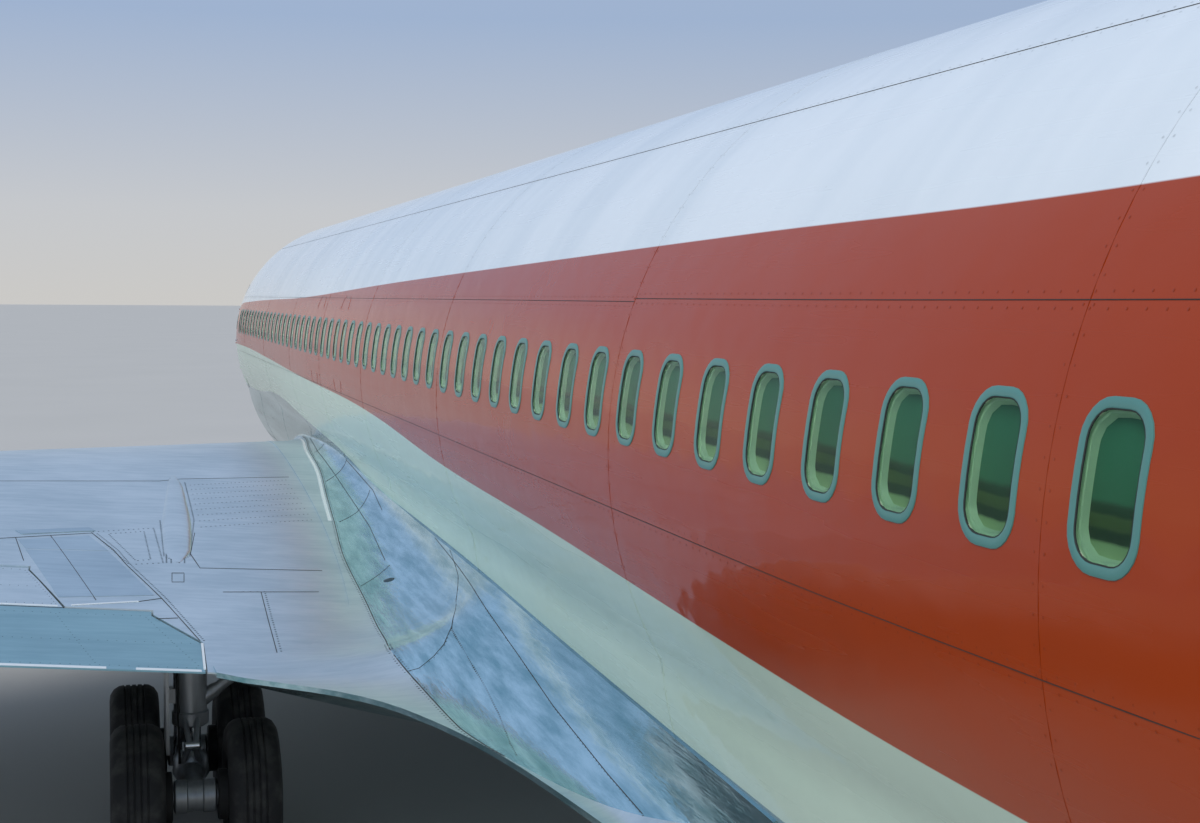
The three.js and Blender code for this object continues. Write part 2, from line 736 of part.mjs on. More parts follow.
function filletRing(station) {
  const value = (key) => smoothColumn(FILLET_ROWS, key, station);
  const [top, edge, foot] = ["top", "edge", "foot"].map(value);
  const row = rowAt(WING, edge);
  const wingStart = row.front + FILLET_BEHIND_EDGE;
  let levels;
  if (station > wingStart && station < row.back) {
    const skin = (side) => skinPoint(WING, edge, station, side).point.z - BODY_CENTRE_Z;
    levels = [skin(1) + FILLET_PROUD, skin(-1) - FILLET_PROUD];
  } else {
    const level = station <= wingStart ? row.frontLevel : lerp(row.backLevel, FILLET_TAIL_LEVEL, 0.5);
    levels = [level + FILLET_TAIL_HALF, level - FILLET_TAIL_HALF];
  }
  const start = offBody(top, FILLET_LIP);
  const end = offBody(foot, FILLET_LIP);
  const hollow = (from, to, [share, drop]) =>
    new THREE.QuadraticBezierCurve(
      from,
      new THREE.Vector2(lerp(from.x, to.x, share), lerp(from.y, to.y, drop)),
      to,
    ).getPoints(FILLET_STEPS);
  const upper = hollow(start, new THREE.Vector2(edge, levels[0]), FILLET_PULL.upper);
  const lower = hollow(new THREE.Vector2(edge, levels[1]), end, FILLET_PULL.lower);
  const roots = [offBody(top, -FILLET_ROOT), offBody(foot, -FILLET_ROOT)];
  const points = [roots[0], ...upper, ...lower, roots[1]];
  return points.map((p) => new THREE.Vector3(p.x, yOf(station), zOf(p.y)));
}

const FILLET_SPACING = [
  // from station, to station, step
  [12450, 25000, 1050],
  [25055, 27300, 405],
  [27800, 30601, 1400],
];

function makeFillet(grownWing, grownBody) {
  const stations = [];
  for (const [from, to, step] of FILLET_SPACING) {
    for (let station = from; station < to; station += step) stations.push(station);
  }
  const whole = loft(stations.map(filletRing), "y");
  const trimmed = cut(whole, grownWing, grownBody);
  return biggest(trimmed);
}

// The largest closed body of a solid, without the slivers that a cut can leave on one of its edges.
function biggest(solid) {
  const apart = solidOf(geometryOf(solid)).decompose();
  return apart.reduce((a, b) => (b.volume() > a.volume() ? b : a));
}

// Engines

const ENGINES = [
  // name, span, inlet station, height of its axis, whether there is a scoop over it
  ["inboard", 8300, 15100, 1780, true],
  ["outboard", 14300, 19750, 2330, false],
].map(([name, x, station, z, scoop]) => ({ name, x, station, z, scoop }));

const ROUND_SIDES = 16;
const FAN_SIDES = 12;
const FAN = {
  front: 430,
  back: 740,
  tip: 575,
  hub: 190,
  blades: 18,
  stagger: 0.8,
  shaft: 90,
  shaftStart: 700,
  shaftEnd: 900,
};
const SPINNER = [
  // ahead of the blades, and radius
  [130, 0],
  [90, 90],
  [0, FAN.hub],
];
const BLADE_ROWS = [
  // radius, half chord, half thickness
  [FAN.hub - 30, 90, 9],
  [FAN.tip, 105, 5],
];
const CORE_FRONT = 765;
const CORE_BORE = { front: CORE_FRONT - 60, back: FAN.shaftEnd + 30 };
const CORE_RADIUS = 602 - SEAT_GAP;

const COWL_PROFILE = [
  // distance aft of the lip and radius, from the inner back edge forward, round the lip and back
  [1950, 602],
  [420, 602],
  [180, 585],
  [0, 640],
  [90, 678],
  [500, 718],
  [1400, 708],
  [1950, 655],
];

const CORE_PROFILE = [
  [CORE_FRONT, 0],
  [CORE_FRONT, CORE_RADIUS],
  [1900, CORE_RADIUS],
  [2000, 560],
  [3000, 535],
  [4050, 392],
  [4050, 362],
  [3820, 350],
  [3820, 210],
  [4280, 50],
  [4300, 0],
];

// A turned solid on an axis that runs aft through the origin.
function turned(profile, sides, radiusGrow = 0) {
  const points = profile.map(([aft, r]) => new THREE.Vector2(r > 0 ? r + radiusGrow : 0, aft));
  if (profile[0][1] > 0) points.push(points[0].clone());
  return solidOf(new THREE.LatheGeometry(points, sides));
}

function makeFan() {
  const spinner = SPINNER.map(([ahead, r]) => [FAN.front - ahead, r]);
  const hub = turned([...spinner, [FAN.back, FAN.hub], [FAN.back, 0]], FAN_SIDES);
  const shaft = turned(
    [[FAN.shaftStart, 0], [FAN.shaftStart, FAN.shaft], [FAN.shaftEnd, FAN.shaft], [FAN.shaftEnd, 0]],
    FAN_SIDES,
  );
  const middle = (FAN.front + FAN.back) / 2;
  const [cos, sin] = [Math.cos(FAN.stagger), Math.sin(FAN.stagger)];
  const blades = [];
  for (let i = 0; i < FAN.blades; i++) {
    const turn = new THREE.Matrix4().makeRotationY((i / FAN.blades) * Math.PI * 2);
    const rings = BLADE_ROWS.map(([radius, halfChord, halfThick]) =>
      [[-1, -1], [1, -1], [1, 1], [-1, 1]].map(([c, t]) => {
        const aft = c * halfChord * cos - t * halfThick * sin;
        const side = c * halfChord * sin + t * halfThick * cos;
        return new THREE.Vector3(radius, middle + aft, side).applyMatrix4(turn);
      }),
    );
    blades.push(bladeSolid(rings));
  }
  return join(hub, shaft, ...blades);
}

// Two rings of four points, closed as a thin six-sided blade.
function bladeSolid([inner, outer]) {
  const positions = [...inner, ...outer].flatMap((p) => [p.x, p.y, p.z]);
  const corners = [0, 2, 1, 0, 3, 2, 4, 5, 6, 4, 6, 7];
  for (let i = 0; i < 4; i++) {
    const j = (i + 1) % 4;
    corners.push(i, j, j + 4, i, j + 4, i + 4);
  }
  const geometry = new THREE.BufferGeometry();
  geometry.setAttribute("position", new THREE.Float32BufferAttribute(positions, 3));
  geometry.setIndex(corners);
  return solidOf(geometry);
}

const PYLON = { front: 380, halfWide: 300, edge: 4, wide: 200, aft: 2900 };
const PYLON_SEAT = 1.2 * SEAT_GAP; // round the core, whose sides taper

// The inboard pylons carry an air scoop over the cowl.
const SCOOP = { rise: 800, sides: 16 };
const SCOOP_PROFILE = [
  // distance aft of the cowl's lip, and radius, from the throat forward and round the lip
  [460, 0],
  [460, 100],
  [330, 108],
  [318, 124],
  [350, 146],
  [950, 158],
  [1700, 112],
  [2100, 24],
  [2110, 0],
];

// A pylon in the aircraft's frame: a side outline within a slim plan outline.
function makePylon(engine, grownWing) {
  const row = rowAt(WING, engine.x);
  const top = row.frontLevel + BODY_CENTRE_Z;
  const start = engine.station;
  const outline = [
    // station, height
    [start + 420, engine.z + 560],
    [start + 520, engine.z + 760],
    [start + 1500, engine.z + 860],
    [row.front - 250, top + 60],
    [row.front + 500, top + 160],
    [row.front + 3000, top - 60],
    [row.front + PYLON.aft, top - 560],
    [start + 4350, engine.z + 330],
    [start + 3600, engine.z + 200],
    [start + 420, engine.z + 300],
  ].map(([station, z]) => [yOf(station), z]);
  const sideways = {
    origin: new THREE.Vector3(engine.x, 0, 0),
    along: new THREE.Vector3(1, 0, 0),
    aft: new THREE.Vector3(0, 1, 0),
    up: new THREE.Vector3(0, 0, 1),
  };
  const plate = prism(sideways, outline, -PYLON.wide, PYLON.wide);
  const front = start + PYLON.front;
  const length = row.front + PYLON.aft - front;
  const plan = CHORD_STEPS.map((u) => [
    yOf(front + u * length),
    PYLON.halfWide * halfThickness(u) + PYLON.edge,
  ]);
  const right = plan.map(([y, half]) => [y, -half]);
  const left = plan.map(([y, half]) => [y, half]).reverse();
  const downward = {
    origin: new THREE.Vector3(engine.x, 0, 0),
    along: new THREE.Vector3(0, 0, 1),
    aft: new THREE.Vector3(0, 1, 0),
    up: new THREE.Vector3(-1, 0, 0),
  };
  const slim = prism(downward, [...right, ...left], 0, 2 * BODY_CENTRE_Z);
  const placed = (solid, rise = 0) => solid.translate([engine.x, yOf(start), engine.z + rise]);
  const cowlBack = COWL_PROFILE[0][0];
  const cowlOutside = [...COWL_PROFILE.slice(3), [cowlBack, 0], [0, 0]];
  const cowlSeat = SEAT_GAP / Math.cos(Math.PI / ROUND_SIDES);
  const cowlCutter = placed(turned(cowlOutside, ROUND_SIDES, cowlSeat));
  const coreOutside = [...CORE_PROFILE.slice(0, 6), [CORE_PROFILE[5][0], 0]];
  const coreCutter = placed(turned(coreOutside, ROUND_SIDES, PYLON_SEAT));
  let whole = plate.intersect(slim);
  if (engine.scoop) whole = join(whole, placed(turned(SCOOP_PROFILE, SCOOP.sides), SCOOP.rise));
  return biggest(cut(whole, grownWing, cowlCutter, coreCutter));
}

// Landing gear

const WHEEL_SIDES = 14;

// Two tyres, their wheels and their axle, turned on one axis across the aircraft.
function wheelPair(gear, axle) {
  const { radius, width, spread } = gear;
  const rim = radius * 0.52;
  const half = width / 2;
  const side = [
    // distance out from the middle of the pair, and radius
    [spread - half * 0.75, axle],
    [spread - half * 0.7, rim],
    [spread - half, radius * 0.78],
    [spread - half * 0.82, radius * 0.95],
    [spread - half * 0.45, radius],
    [spread + half * 0.45, radius],
    [spread + half * 0.82, radius * 0.95],
    [spread + half, radius * 0.78],
    [spread + half * 0.7, rim],
    [spread + half * 0.4, rim * 0.45],
    [spread + half * 0.4, 0],
  ];
  const mirrored = side.map(([out, r]) => [-out, r]).reverse();
  const pair = turned([...mirrored, ...side], WHEEL_SIDES);
  return pair.rotate([0, 0, 90]);
}

const AXLE = { main: 80, nose: 55 };
const BORE_REACH = { main: 260, nose: 200 }; // past the boss that each axle runs in

const tubesOf = (rows, place) =>
  rows.map(([from, to, radius, sides]) => tube(place(...from), place(...to), radius, sides));
const blocksOf = (rows, place) =>
  rows.map(([low, high]) => {
    const [a, b] = [place(...low), place(...high)];
    return block([a.x, b.x], [a.y, b.y], [a.z, b.z]);
  });

// Places on a leg are out from its middle, aft of it, and up from the ground.
const { truck: TRUCK, radius: MAIN_AXLE_Z } = MAIN_GEAR;
const MAIN_LEG_TUBES = [
  // from, to, radius, sides
  [[0, -TRUCK - 60, MAIN_AXLE_Z], [0, TRUCK + 60, MAIN_AXLE_Z], 105, 10], // truck beam
  [[-165, -TRUCK, MAIN_AXLE_Z], [165, -TRUCK, MAIN_AXLE_Z], 130, 12], // axle bosses
  [[-165, TRUCK, MAIN_AXLE_Z], [165, TRUCK, MAIN_AXLE_Z], 130, 12],
  [[0, 0, MAIN_AXLE_Z - 60], [0, 0, 1250], 95, 12], // piston
  [[0, 0, 980], [0, 0, 2300], 140, 12], // cylinder
  [[-40, 0, 1150], [-1280, 0, 2050], 58, 8], // side brace
  [[0, -60, 1120], [0, -900, 2200], 48, 8], // drag brace
  [[0, 100, 1080], [0, 330, 880], 30, 4], // torque links
  [[0, 330, 900], [0, 90, 700], 30, 4],
];
const MAIN_LEG_BLOCKS = [
  // lowest and highest corner
  [[120, -60, 1180], [200, 60, 1300]], // door's bracket
  [[180, -330, 820], [210, 330, 1800]], // door
];

function makeMainLeg(cutters) {
  const { x, station } = MAIN_GEAR;
  const place = (out, aft, z) => new THREE.Vector3(x + out, yOf(station) + aft, z);
  const whole = join(...tubesOf(MAIN_LEG_TUBES, place), ...blocksOf(MAIN_LEG_BLOCKS, place));
  const bores = [-TRUCK, TRUCK].map((aft) =>
    bore(
      place(-BORE_REACH.main, aft, MAIN_AXLE_Z),
      place(BORE_REACH.main, aft, MAIN_AXLE_Z),
      AXLE.main,
      WHEEL_SIDES,
    ),
  );
  return biggest(cut(whole, ...cutters, ...bores));
}

const NOSE_LEG = { radius: 100, foot: 1120, piston: 70, pistonTop: 1780, headroom: 20, sides: 16 };
const NOSE_WELL = { half: 400, front: 3450, back: 4760, floor: 1000, ceiling: 2150 };
const NOSE_DOOR = { thick: 30, clear: 40, low: 1180, high: 1900 };
const NOSE_AXLE_Z = NOSE_GEAR.radius;
const NOSE_ROOT = NOSE_WELL.ceiling + 50; // the leg is cut off at the well's ceiling
const NOSE_LEG_TUBES = [
  [[0, 0, NOSE_LEG.foot], [0, 0, NOSE_ROOT], NOSE_LEG.radius, NOSE_LEG.sides], // cylinder
  [[0, -40, 1350], [0, -740, NOSE_ROOT], 42, 10], // drag brace
];
const NOSE_LEG_BLOCKS = [[[-160, -70, 1480], [160, 70, 1580]]]; // steering jacks' cross beam
const NOSE_FORK_TUBES = [
  [[0, 0, NOSE_AXLE_Z], [0, 0, NOSE_LEG.pistonTop], NOSE_LEG.piston, NOSE_LEG.sides],
  [[0, 0, NOSE_AXLE_Z + 60], [0, 0, NOSE_LEG.foot - 60], 92, NOSE_LEG.sides], // sleeve
  [[-95, 0, NOSE_AXLE_Z], [95, 0, NOSE_AXLE_Z], 98, NOSE_LEG.sides], // axle boss
];
const NOSE_FORK_BLOCKS = [[[-60, -190, NOSE_AXLE_Z + 120], [60, -60, NOSE_AXLE_Z + 190]]]; // towing lug

const atNoseLeg = (out, aft, z) => new THREE.Vector3(out, yOf(NOSE_GEAR.station) + aft, z);

function makeNoseLeg() {
  const whole = join(...tubesOf(NOSE_LEG_TUBES, atNoseLeg), ...blocksOf(NOSE_LEG_BLOCKS, atNoseLeg));
  const foot = atNoseLeg(0, 0, NOSE_LEG.foot - SPARE);
  const head = atNoseLeg(0, 0, NOSE_LEG.pistonTop + NOSE_LEG.headroom);
  const hole = bore(foot, head, NOSE_LEG.piston, NOSE_LEG.sides);
  const [roofEdge, roofTop] = [2 * NOSE_WELL.half, NOSE_ROOT + SPARE];
  const roof = block(
    [-roofEdge, roofEdge],
    [yOf(NOSE_WELL.front) - roofEdge, yOf(NOSE_WELL.back) + roofEdge],
    [NOSE_WELL.ceiling - SEAT_GAP, roofTop],
  );
  return cut(whole, hole, roof);
}

function makeNoseFork() {
  const whole = join(...tubesOf(NOSE_FORK_TUBES, atNoseLeg), ...blocksOf(NOSE_FORK_BLOCKS, atNoseLeg));
  const [right, left] = [-1, 1].map((side) => atNoseLeg(side * BORE_REACH.nose, 0, NOSE_AXLE_Z));
  return whole.subtract(bore(right, left, AXLE.nose, WHEEL_SIDES));
}

// Solids of the left side and the middle

const FILLETED_BODY = [8000, 40000]; // the stations that a fillet or a main leg can meet
const DOOR_HOST = 3000; // length of body that a door is cut from, each way from its middle

const grownWing = foilLoft(WING, SEAT_GAP);
const grownBody = bodyLoft(...FILLETED_BODY, SEAT_GAP);
const grownStabiliser = foilLoft(STABILISER, SEAT_GAP);
const grownFin = foilLoft(FIN, SEAT_GAP);
const mirrorX = (solid) => solid.mirror([1, 0, 0]);

const wing = splitSurface(WING, foilLoft(WING));
const stabiliser = splitSurface(STABILISER, foilLoft(STABILISER));
const fin = splitSurface(FIN, foilLoft(FIN));
const fillet = makeFillet(grownWing, grownBody);

const doorCutters = DOORS.map((door) => doorSlab(door, SEAT_GAP));
const noseWell = block(
  [-NOSE_WELL.half, NOSE_WELL.half],
  [yOf(NOSE_WELL.front), yOf(NOSE_WELL.back)],
  [NOSE_WELL.floor, NOSE_WELL.ceiling],
);
const noseDoors = [0, 1].map((right) => {
  const inner = right ? -NOSE_WELL.half - NOSE_DOOR.thick : NOSE_WELL.half;
  return block(
    [inner, inner + NOSE_DOOR.thick],
    [yOf(NOSE_WELL.front + NOSE_DOOR.clear), yOf(NOSE_WELL.back - NOSE_DOOR.clear)],
    [NOSE_DOOR.low, NOSE_DOOR.high],
  );
});

const wholeNose = span(RADOME_END, NOSE_END);
const BODY_PIECES = {
  radome: span(0, RADOME_END),
  nose_section: join(cut(wholeNose, glazingSlab(SEAT_GAP), noseWell), ...noseDoors),
  cockpit_glazing: wholeNose.intersect(glazingSlab(0)),
  forward_fuselage: cut(span(NOSE_END, FORWARD_END), ...doorCutters),
  centre_fuselage: cut(span(FORWARD_END, CENTRE_END), grownWing, mirrorX(grownWing)),
  aft_fuselage: cut(span(CENTRE_END, AFT_END), ...doorCutters, grownFin),
  tail_section: cut(
    span(AFT_END, BODY_END),
    grownFin,
    grownStabiliser,
    mirrorX(grownStabiliser),
  ),
};

// The object

const aircraft = new THREE.Group();

function addMesh(parent, name, solid, look, at = new THREE.Vector3()) {
  const geometry = geometryOf(solid.translate([-at.x, -at.y, -at.z]));
  const mesh = new THREE.Mesh(geometry, new THREE.MeshStandardMaterial(COLOURS[look]));
  mesh.name = name;
  mesh.position.copy(at);
  parent.add(mesh);
}

const BODY_LOOKS = { radome: "radome", cockpit_glazing: "glass" };
for (const [name, solid] of Object.entries(BODY_PIECES)) {
  addMesh(aircraft, name, solid, BODY_LOOKS[name] ?? "white");
}

for (const door of DOORS) {
  const host = span(door.station - DOOR_HOST, door.station + DOOR_HOST);
  addMesh(aircraft, door.name, host.intersect(doorSlab(door, 0)), "white");
}

const probe = turned(PROBE_PROFILE, PROBE_SIDES).translate([0, yOf(0), PROBE_Z]);
addMesh(aircraft, "fin", join(fin.fixed, probe), "white");
for (const part of fin.parts) addMesh(aircraft, part.name, part.solid, "white", part.at);

const shaftHole = holeRadius(FAN.shaft, FAN_SIDES);
const coreBore = turned(
  [
    [CORE_BORE.front, 0],
    [CORE_BORE.front, shaftHole],
    [CORE_BORE.back, shaftHole],
    [CORE_BORE.back, 0],
  ],
  FAN_SIDES,
);
const cowl = turned(COWL_PROFILE, ROUND_SIDES);
const core = turned(CORE_PROFILE, ROUND_SIDES).subtract(coreBore.rotate([0, 180 / FAN_SIDES, 0]));
const fan = makeFan();
const mainLeg = makeMainLeg([grownWing, grownBody]);
const mainWheels = wheelPair(MAIN_GEAR, AXLE.main);

for (const [side, sign] of [["left", 1], ["right", -1]]) {
  const half = new THREE.Group();
  half.scale.x = sign;
  aircraft.add(half);
  addMesh(half, `wing_${side}`, wing.fixed, "bare");
  addMesh(half, `fillet_${side}`, fillet, "bare");
  addMesh(half, `stabiliser_${side}`, stabiliser.fixed, "bare");
  for (const part of [...wing.parts, ...stabiliser.parts]) {
    addMesh(half, `${part.name}_${side}`, part.solid, "grey", part.at);
  }
  for (const engine of ENGINES) {
    const mount = new THREE.Group();
    mount.position.set(engine.x, yOf(engine.station), engine.z);
    half.add(mount);
    const pylon = makePylon(engine, grownWing).translate(mount.position.clone().negate().toArray());
    addMesh(mount, `pylon_${engine.name}_${side}`, pylon, "bare");
    addMesh(mount, `cowl_${engine.name}_${side}`, cowl, "bare");
    addMesh(mount, `engine_${engine.name}_${side}`, core, "steel");
    addMesh(mount, `fan_${engine.name}_${side}`, fan, "steel");
  }
  addMesh(half, `main_leg_${side}`, mainLeg, "steel");
  for (const [end, offset] of [["front", -MAIN_GEAR.truck], ["rear", MAIN_GEAR.truck]]) {
    const wheels = new THREE.Group();
    wheels.position.set(MAIN_GEAR.x, yOf(MAIN_GEAR.station) + offset, MAIN_GEAR.radius);
    half.add(wheels);
    addMesh(wheels, `main_wheels_${end}_${side}`, mainWheels, "rubber");
  }
}

addMesh(aircraft, "nose_leg", makeNoseLeg(), "steel");
addMesh(aircraft, "nose_fork", makeNoseFork(), "steel");
const noseWheels = new THREE.Group();
noseWheels.position.set(0, yOf(NOSE_GEAR.station), NOSE_GEAR.radius);
aircraft.add(noseWheels);
addMesh(noseWheels, "nose_wheels", wheelPair(NOSE_GEAR, AXLE.nose), "rubber");

const group = new THREE.Group();
group.scale.setScalar(MODEL_SCALE);
group.add(aircraft);

export default group;
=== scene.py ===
"""The looks of a four-engined narrow-body airliner at half size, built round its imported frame.

Sizes are full-size millimetres: x to the aircraft's left, y aft and z up from the ground. A station is a
distance aft of the nose tip, a level a height above the round upper body's centre, and an arc a distance
down the body's skin from its crown. Each piece is turned into metres of the half-size model when it is made.
"""

import bisect
import functools
import json
import math

import bmesh
import bpy
from mathutils import Matrix, Vector
from mathutils.bvhtree import BVHTree


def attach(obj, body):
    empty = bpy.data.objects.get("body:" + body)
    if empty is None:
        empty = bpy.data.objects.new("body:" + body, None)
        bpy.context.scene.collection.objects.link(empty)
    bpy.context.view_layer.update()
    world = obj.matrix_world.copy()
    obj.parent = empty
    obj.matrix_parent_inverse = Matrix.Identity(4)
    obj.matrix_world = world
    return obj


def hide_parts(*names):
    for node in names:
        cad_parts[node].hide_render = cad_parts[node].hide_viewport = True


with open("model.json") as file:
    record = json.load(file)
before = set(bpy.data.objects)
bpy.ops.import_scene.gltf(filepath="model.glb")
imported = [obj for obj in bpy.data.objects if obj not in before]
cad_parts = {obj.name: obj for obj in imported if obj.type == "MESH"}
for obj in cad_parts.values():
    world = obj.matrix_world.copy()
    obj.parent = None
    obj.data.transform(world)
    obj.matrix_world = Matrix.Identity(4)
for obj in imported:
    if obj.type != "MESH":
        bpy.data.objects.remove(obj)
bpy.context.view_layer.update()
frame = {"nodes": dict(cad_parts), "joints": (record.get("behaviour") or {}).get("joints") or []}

# Driving dimensions
MODEL = 0.0005
LENGTH = 46610
BODY_Z = 3870
BODY_RADIUS = 1880
BODY_DEPTH = 2450
CREASE_DROP = 950
LOWER_DROP = 823
LOWER_RADIUS = 1627
MOVING_GAP = 12

SIDES = (("left", 1), ("right", -1))
JOINTS = {joint["name"]: joint for joint in frame["joints"]}


def y_of(station):
    return station - LENGTH / 2


def z_of(level):
    return BODY_Z + level


def lerp(a, b, t):
    return a + (b - a) * t


def between(start, end, t):
    return [lerp(a, b, t) for a, b in zip(start, end)]


def inside(corners, a, b):
    """A place between four corners given round it, by its shares along and across."""
    return between(between(corners[0], corners[1], a), between(corners[3], corners[2], a), b)


def steps(start, end, most):
    """Evenly spaced values from start to end, no further apart than most."""
    count = max(1, math.ceil(abs(end - start) / most))
    return [lerp(start, end, k / count) for k in range(count + 1)]


def smooth(rows, column, at):
    """A smooth curve through table rows that never overshoots, by the rows' first column."""
    if at <= rows[0][0]:
        return rows[0][column]
    if at >= rows[-1][0]:
        return rows[-1][column]
    i = bisect.bisect_right([row[0] for row in rows], at) - 1
    last = len(rows) - 1

    def slope(k):
        return (rows[k + 1][column] - rows[k][column]) / (rows[k + 1][0] - rows[k][0])

    def tangent(k):
        if k == 0:
            return slope(0)
        if k == last:
            return slope(last - 1)
        before, after = slope(k - 1), slope(k)
        return 0 if before * after <= 0 else 2 * before * after / (before + after)

    width = rows[i + 1][0] - rows[i][0]
    t = (at - rows[i][0]) / width
    ends = rows[i][column] * (1 + 2 * t) * (1 - t) ** 2 + rows[i + 1][column] * t * t * (3 - 2 * t)
    return ends + width * (tangent(i) * t * (1 - t) ** 2 - tangent(i + 1) * t * t * (1 - t))


# Gathering and making pieces


class Shape:
    """Points, faces and each face's look number, gathered for one piece."""

    def __init__(self):
        self.points = []
        self.faces = []
        self.looks = []

    def add(self, points, faces, look=0):
        base = len(self.points)
        self.points += [tuple(p) for p in points]
        self.faces += [tuple(base + i for i in face) for face in faces]
        self.looks += [look] * len(faces)
        return self

    def loft(self, rings, look=0, closed=False):
        """Joins rings of equally many points; the ends are filled, or with closed meet each other."""
        count, last = len(rings[0]), len(rings) - 1
        faces = []
        for a in range(len(rings) if closed else last):
            b = (a + 1) % len(rings)
            for i in range(count):
                j = (i + 1) % count
                faces.append((a * count + i, a * count + j, b * count + j, b * count + i))
        if not closed:
            faces += [tuple(range(count))[::-1], tuple(range(last * count, (last + 1) * count))]
        return self.add([p for ring in rings for p in ring], faces, look)

    def join(self, other):
        base = len(self.points)
        self.points += other.points
        self.faces += [tuple(base + i for i in face) for face in other.faces]
        self.looks += other.looks
        return self

    def moved(self, matrix):
        made = Shape()
        made.points = [tuple(matrix @ Vector(p)) for p in self.points]
        made.faces = list(self.faces)
        made.looks = list(self.looks)
        return made

    def on_side(self, sign):
        return self if sign > 0 else self.moved(Matrix.Diagonal((-1, 1, 1, 1)))

    def doubled(self):
        """The shape with its mirror image."""
        return Shape().join(self).join(self.on_side(-1))


def mesh_of(shape, name, looks):
    mesh = bpy.data.meshes.new(name)
    mesh.from_pydata([(x * MODEL, y * MODEL, z * MODEL) for x, y, z in shape.points], [], shape.faces)
    for item in looks:
        mesh.materials.append(item)
    mesh.polygons.foreach_set("material_index", shape.looks)
    work = bmesh.new()
    work.from_mesh(mesh)
    bmesh.ops.recalc_face_normals(work, faces=work.faces)
    work.to_mesh(mesh)
    work.free()
    return mesh


def add_object(name, data):
    made = bpy.data.objects.new(name, data)
    bpy.context.scene.collection.objects.link(made)
    return made


SHARP_ANGLE = 35


def make(name, shape, looks, body="airframe", replaces=()):
    """Makes a piece of a shape in millimetres and lets it ride on its body."""
    mesh = mesh_of(shape, name, looks)
    mesh.polygons.foreach_set("use_smooth", [True] * len(mesh.polygons))
    mesh.set_sharp_from_angle(angle=math.radians(SHARP_ANGLE))
    piece = add_object(name, mesh)
    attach(piece, body)
    if replaces:
        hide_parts(*replaces)


def make_both(name, shape, looks, body=None, node=None):
    """A piece for each side from the left one's shape: the side ends the names of piece, body and node."""
    for side, sign in SIDES:
        rides_on = f"{body}_{side}" if body else "airframe"
        replaced = (f"{node}_{side}",) if node else ()
        make(f"{name}_{side}", shape.on_side(sign), looks, rides_on, replaced)


def carved(shape, cutters):
    """The shape less each of the closed cutters."""
    whole = add_object("whole", mesh_of(shape, "whole", []))
    for cutter in cutters:
        tool = add_object("tool", mesh_of(cutter, "tool", []))
        change = whole.modifiers.new("cut", "BOOLEAN")
        change.operation = "DIFFERENCE"
        change.solver = "EXACT"
        change.object = tool
        view = bpy.context.evaluated_depsgraph_get()
        result = bpy.data.meshes.new_from_object(whole.evaluated_get(view))
        whole.modifiers.clear()
        whole.data = result
        bpy.data.objects.remove(tool)
    made = Shape()
    made.points = [tuple(v.co / MODEL) for v in whole.data.vertices]
    made.faces = [tuple(face.vertices) for face in whole.data.polygons]
    made.looks = [0] * len(made.faces)
    bpy.data.objects.remove(whole)
    return made


def block(x, y, z):
    points = [(a, b, c) for a in x for b in y for c in z]
    faces = [(0, 1, 3, 2), (4, 6, 7, 5), (0, 4, 5, 1), (2, 3, 7, 6), (0, 2, 6, 4), (1, 5, 7, 3)]
    return Shape().add(points, faces)


def across(along):
    """Two directions square to a line, the first as near to upright as can be."""
    along = Vector(along).normalized()
    hint = Vector((0, 0, 1)) if abs(along.z) < 0.9 else Vector((0, 1, 0))
    up = (hint - along * hint.dot(along)).normalized()
    return up, along.cross(up)


def circle(centre, ways, radius, sides):
    """Points evenly round a centre, in the plane of two directions."""
    turns = [2 * math.pi * k / sides for k in range(sides)]
    return [centre + (ways[0] * math.cos(a) + ways[1] * math.sin(a)) * radius for a in turns]


def rod(start, end, profile, sides=24, look=0):
    """A turned bar between two points, from a profile of (share of the length, radius)."""
    start, end = Vector(start), Vector(end)
    ways = across(end - start)
    rings = [circle(start.lerp(end, share), ways, radius, sides) for share, radius in profile]
    return Shape().loft(rings, look)


ROD_EDGE = {"most": 0.25, "share": 0.2}


def plain_rod(start, end, radius, sides=16, look=0):
    """A bar with small rounded edges at its ends."""
    length = (Vector(end) - Vector(start)).length
    edge = min(ROD_EDGE["most"], ROD_EDGE["share"] * radius / length)
    low = radius * (1 - ROD_EDGE["share"])
    profile = [(0, low), (edge, radius), (1 - edge, radius), (1, low)]
    return rod(start, end, profile, sides, look)


LEAST_RADIUS = 0.5


def lathe(profile, sides, centre=(0, 0, 0), axis=(0, 1, 0), look=0, closed=False, looks=()):
    """A turned shape from (distance along the axis, radius) points; looks may give each band its own."""
    axis = Vector(axis).normalized()
    ways = across(axis)
    rings = []
    for along, radius in profile:
        rings.append(circle(Vector(centre) + axis * along, ways, max(radius, LEAST_RADIUS), sides))
    made = Shape().loft(rings, look, closed)
    for band, own in enumerate(looks):
        made.looks[band * sides:(band + 1) * sides] = [own] * sides
    return made


CORNER_TURNS = 6
STRAIGHT_PARTS = 3


def rounded(half_wide, half_high, corner):
    """Points round a rounded rectangle, the same number for any size."""
    corners = []
    for quarter, (sx, sy) in enumerate(((1, 1), (-1, 1), (-1, -1), (1, -1))):
        centre = Vector((sx * (half_wide - corner), sy * (half_high - corner)))
        angles = [(quarter + k / CORNER_TURNS) * math.pi / 2 for k in range(CORNER_TURNS + 1)]
        corners.append([centre + Vector((math.cos(a), math.sin(a))) * corner for a in angles])
    points = []
    for quarter in range(4):
        points += corners[quarter]
        start, end = corners[quarter][-1], corners[(quarter + 1) % 4][0]
        points += [start.lerp(end, k / STRAIGHT_PARTS) for k in range(1, STRAIGHT_PARTS)]
    return points


RIVET_SIDES = 6


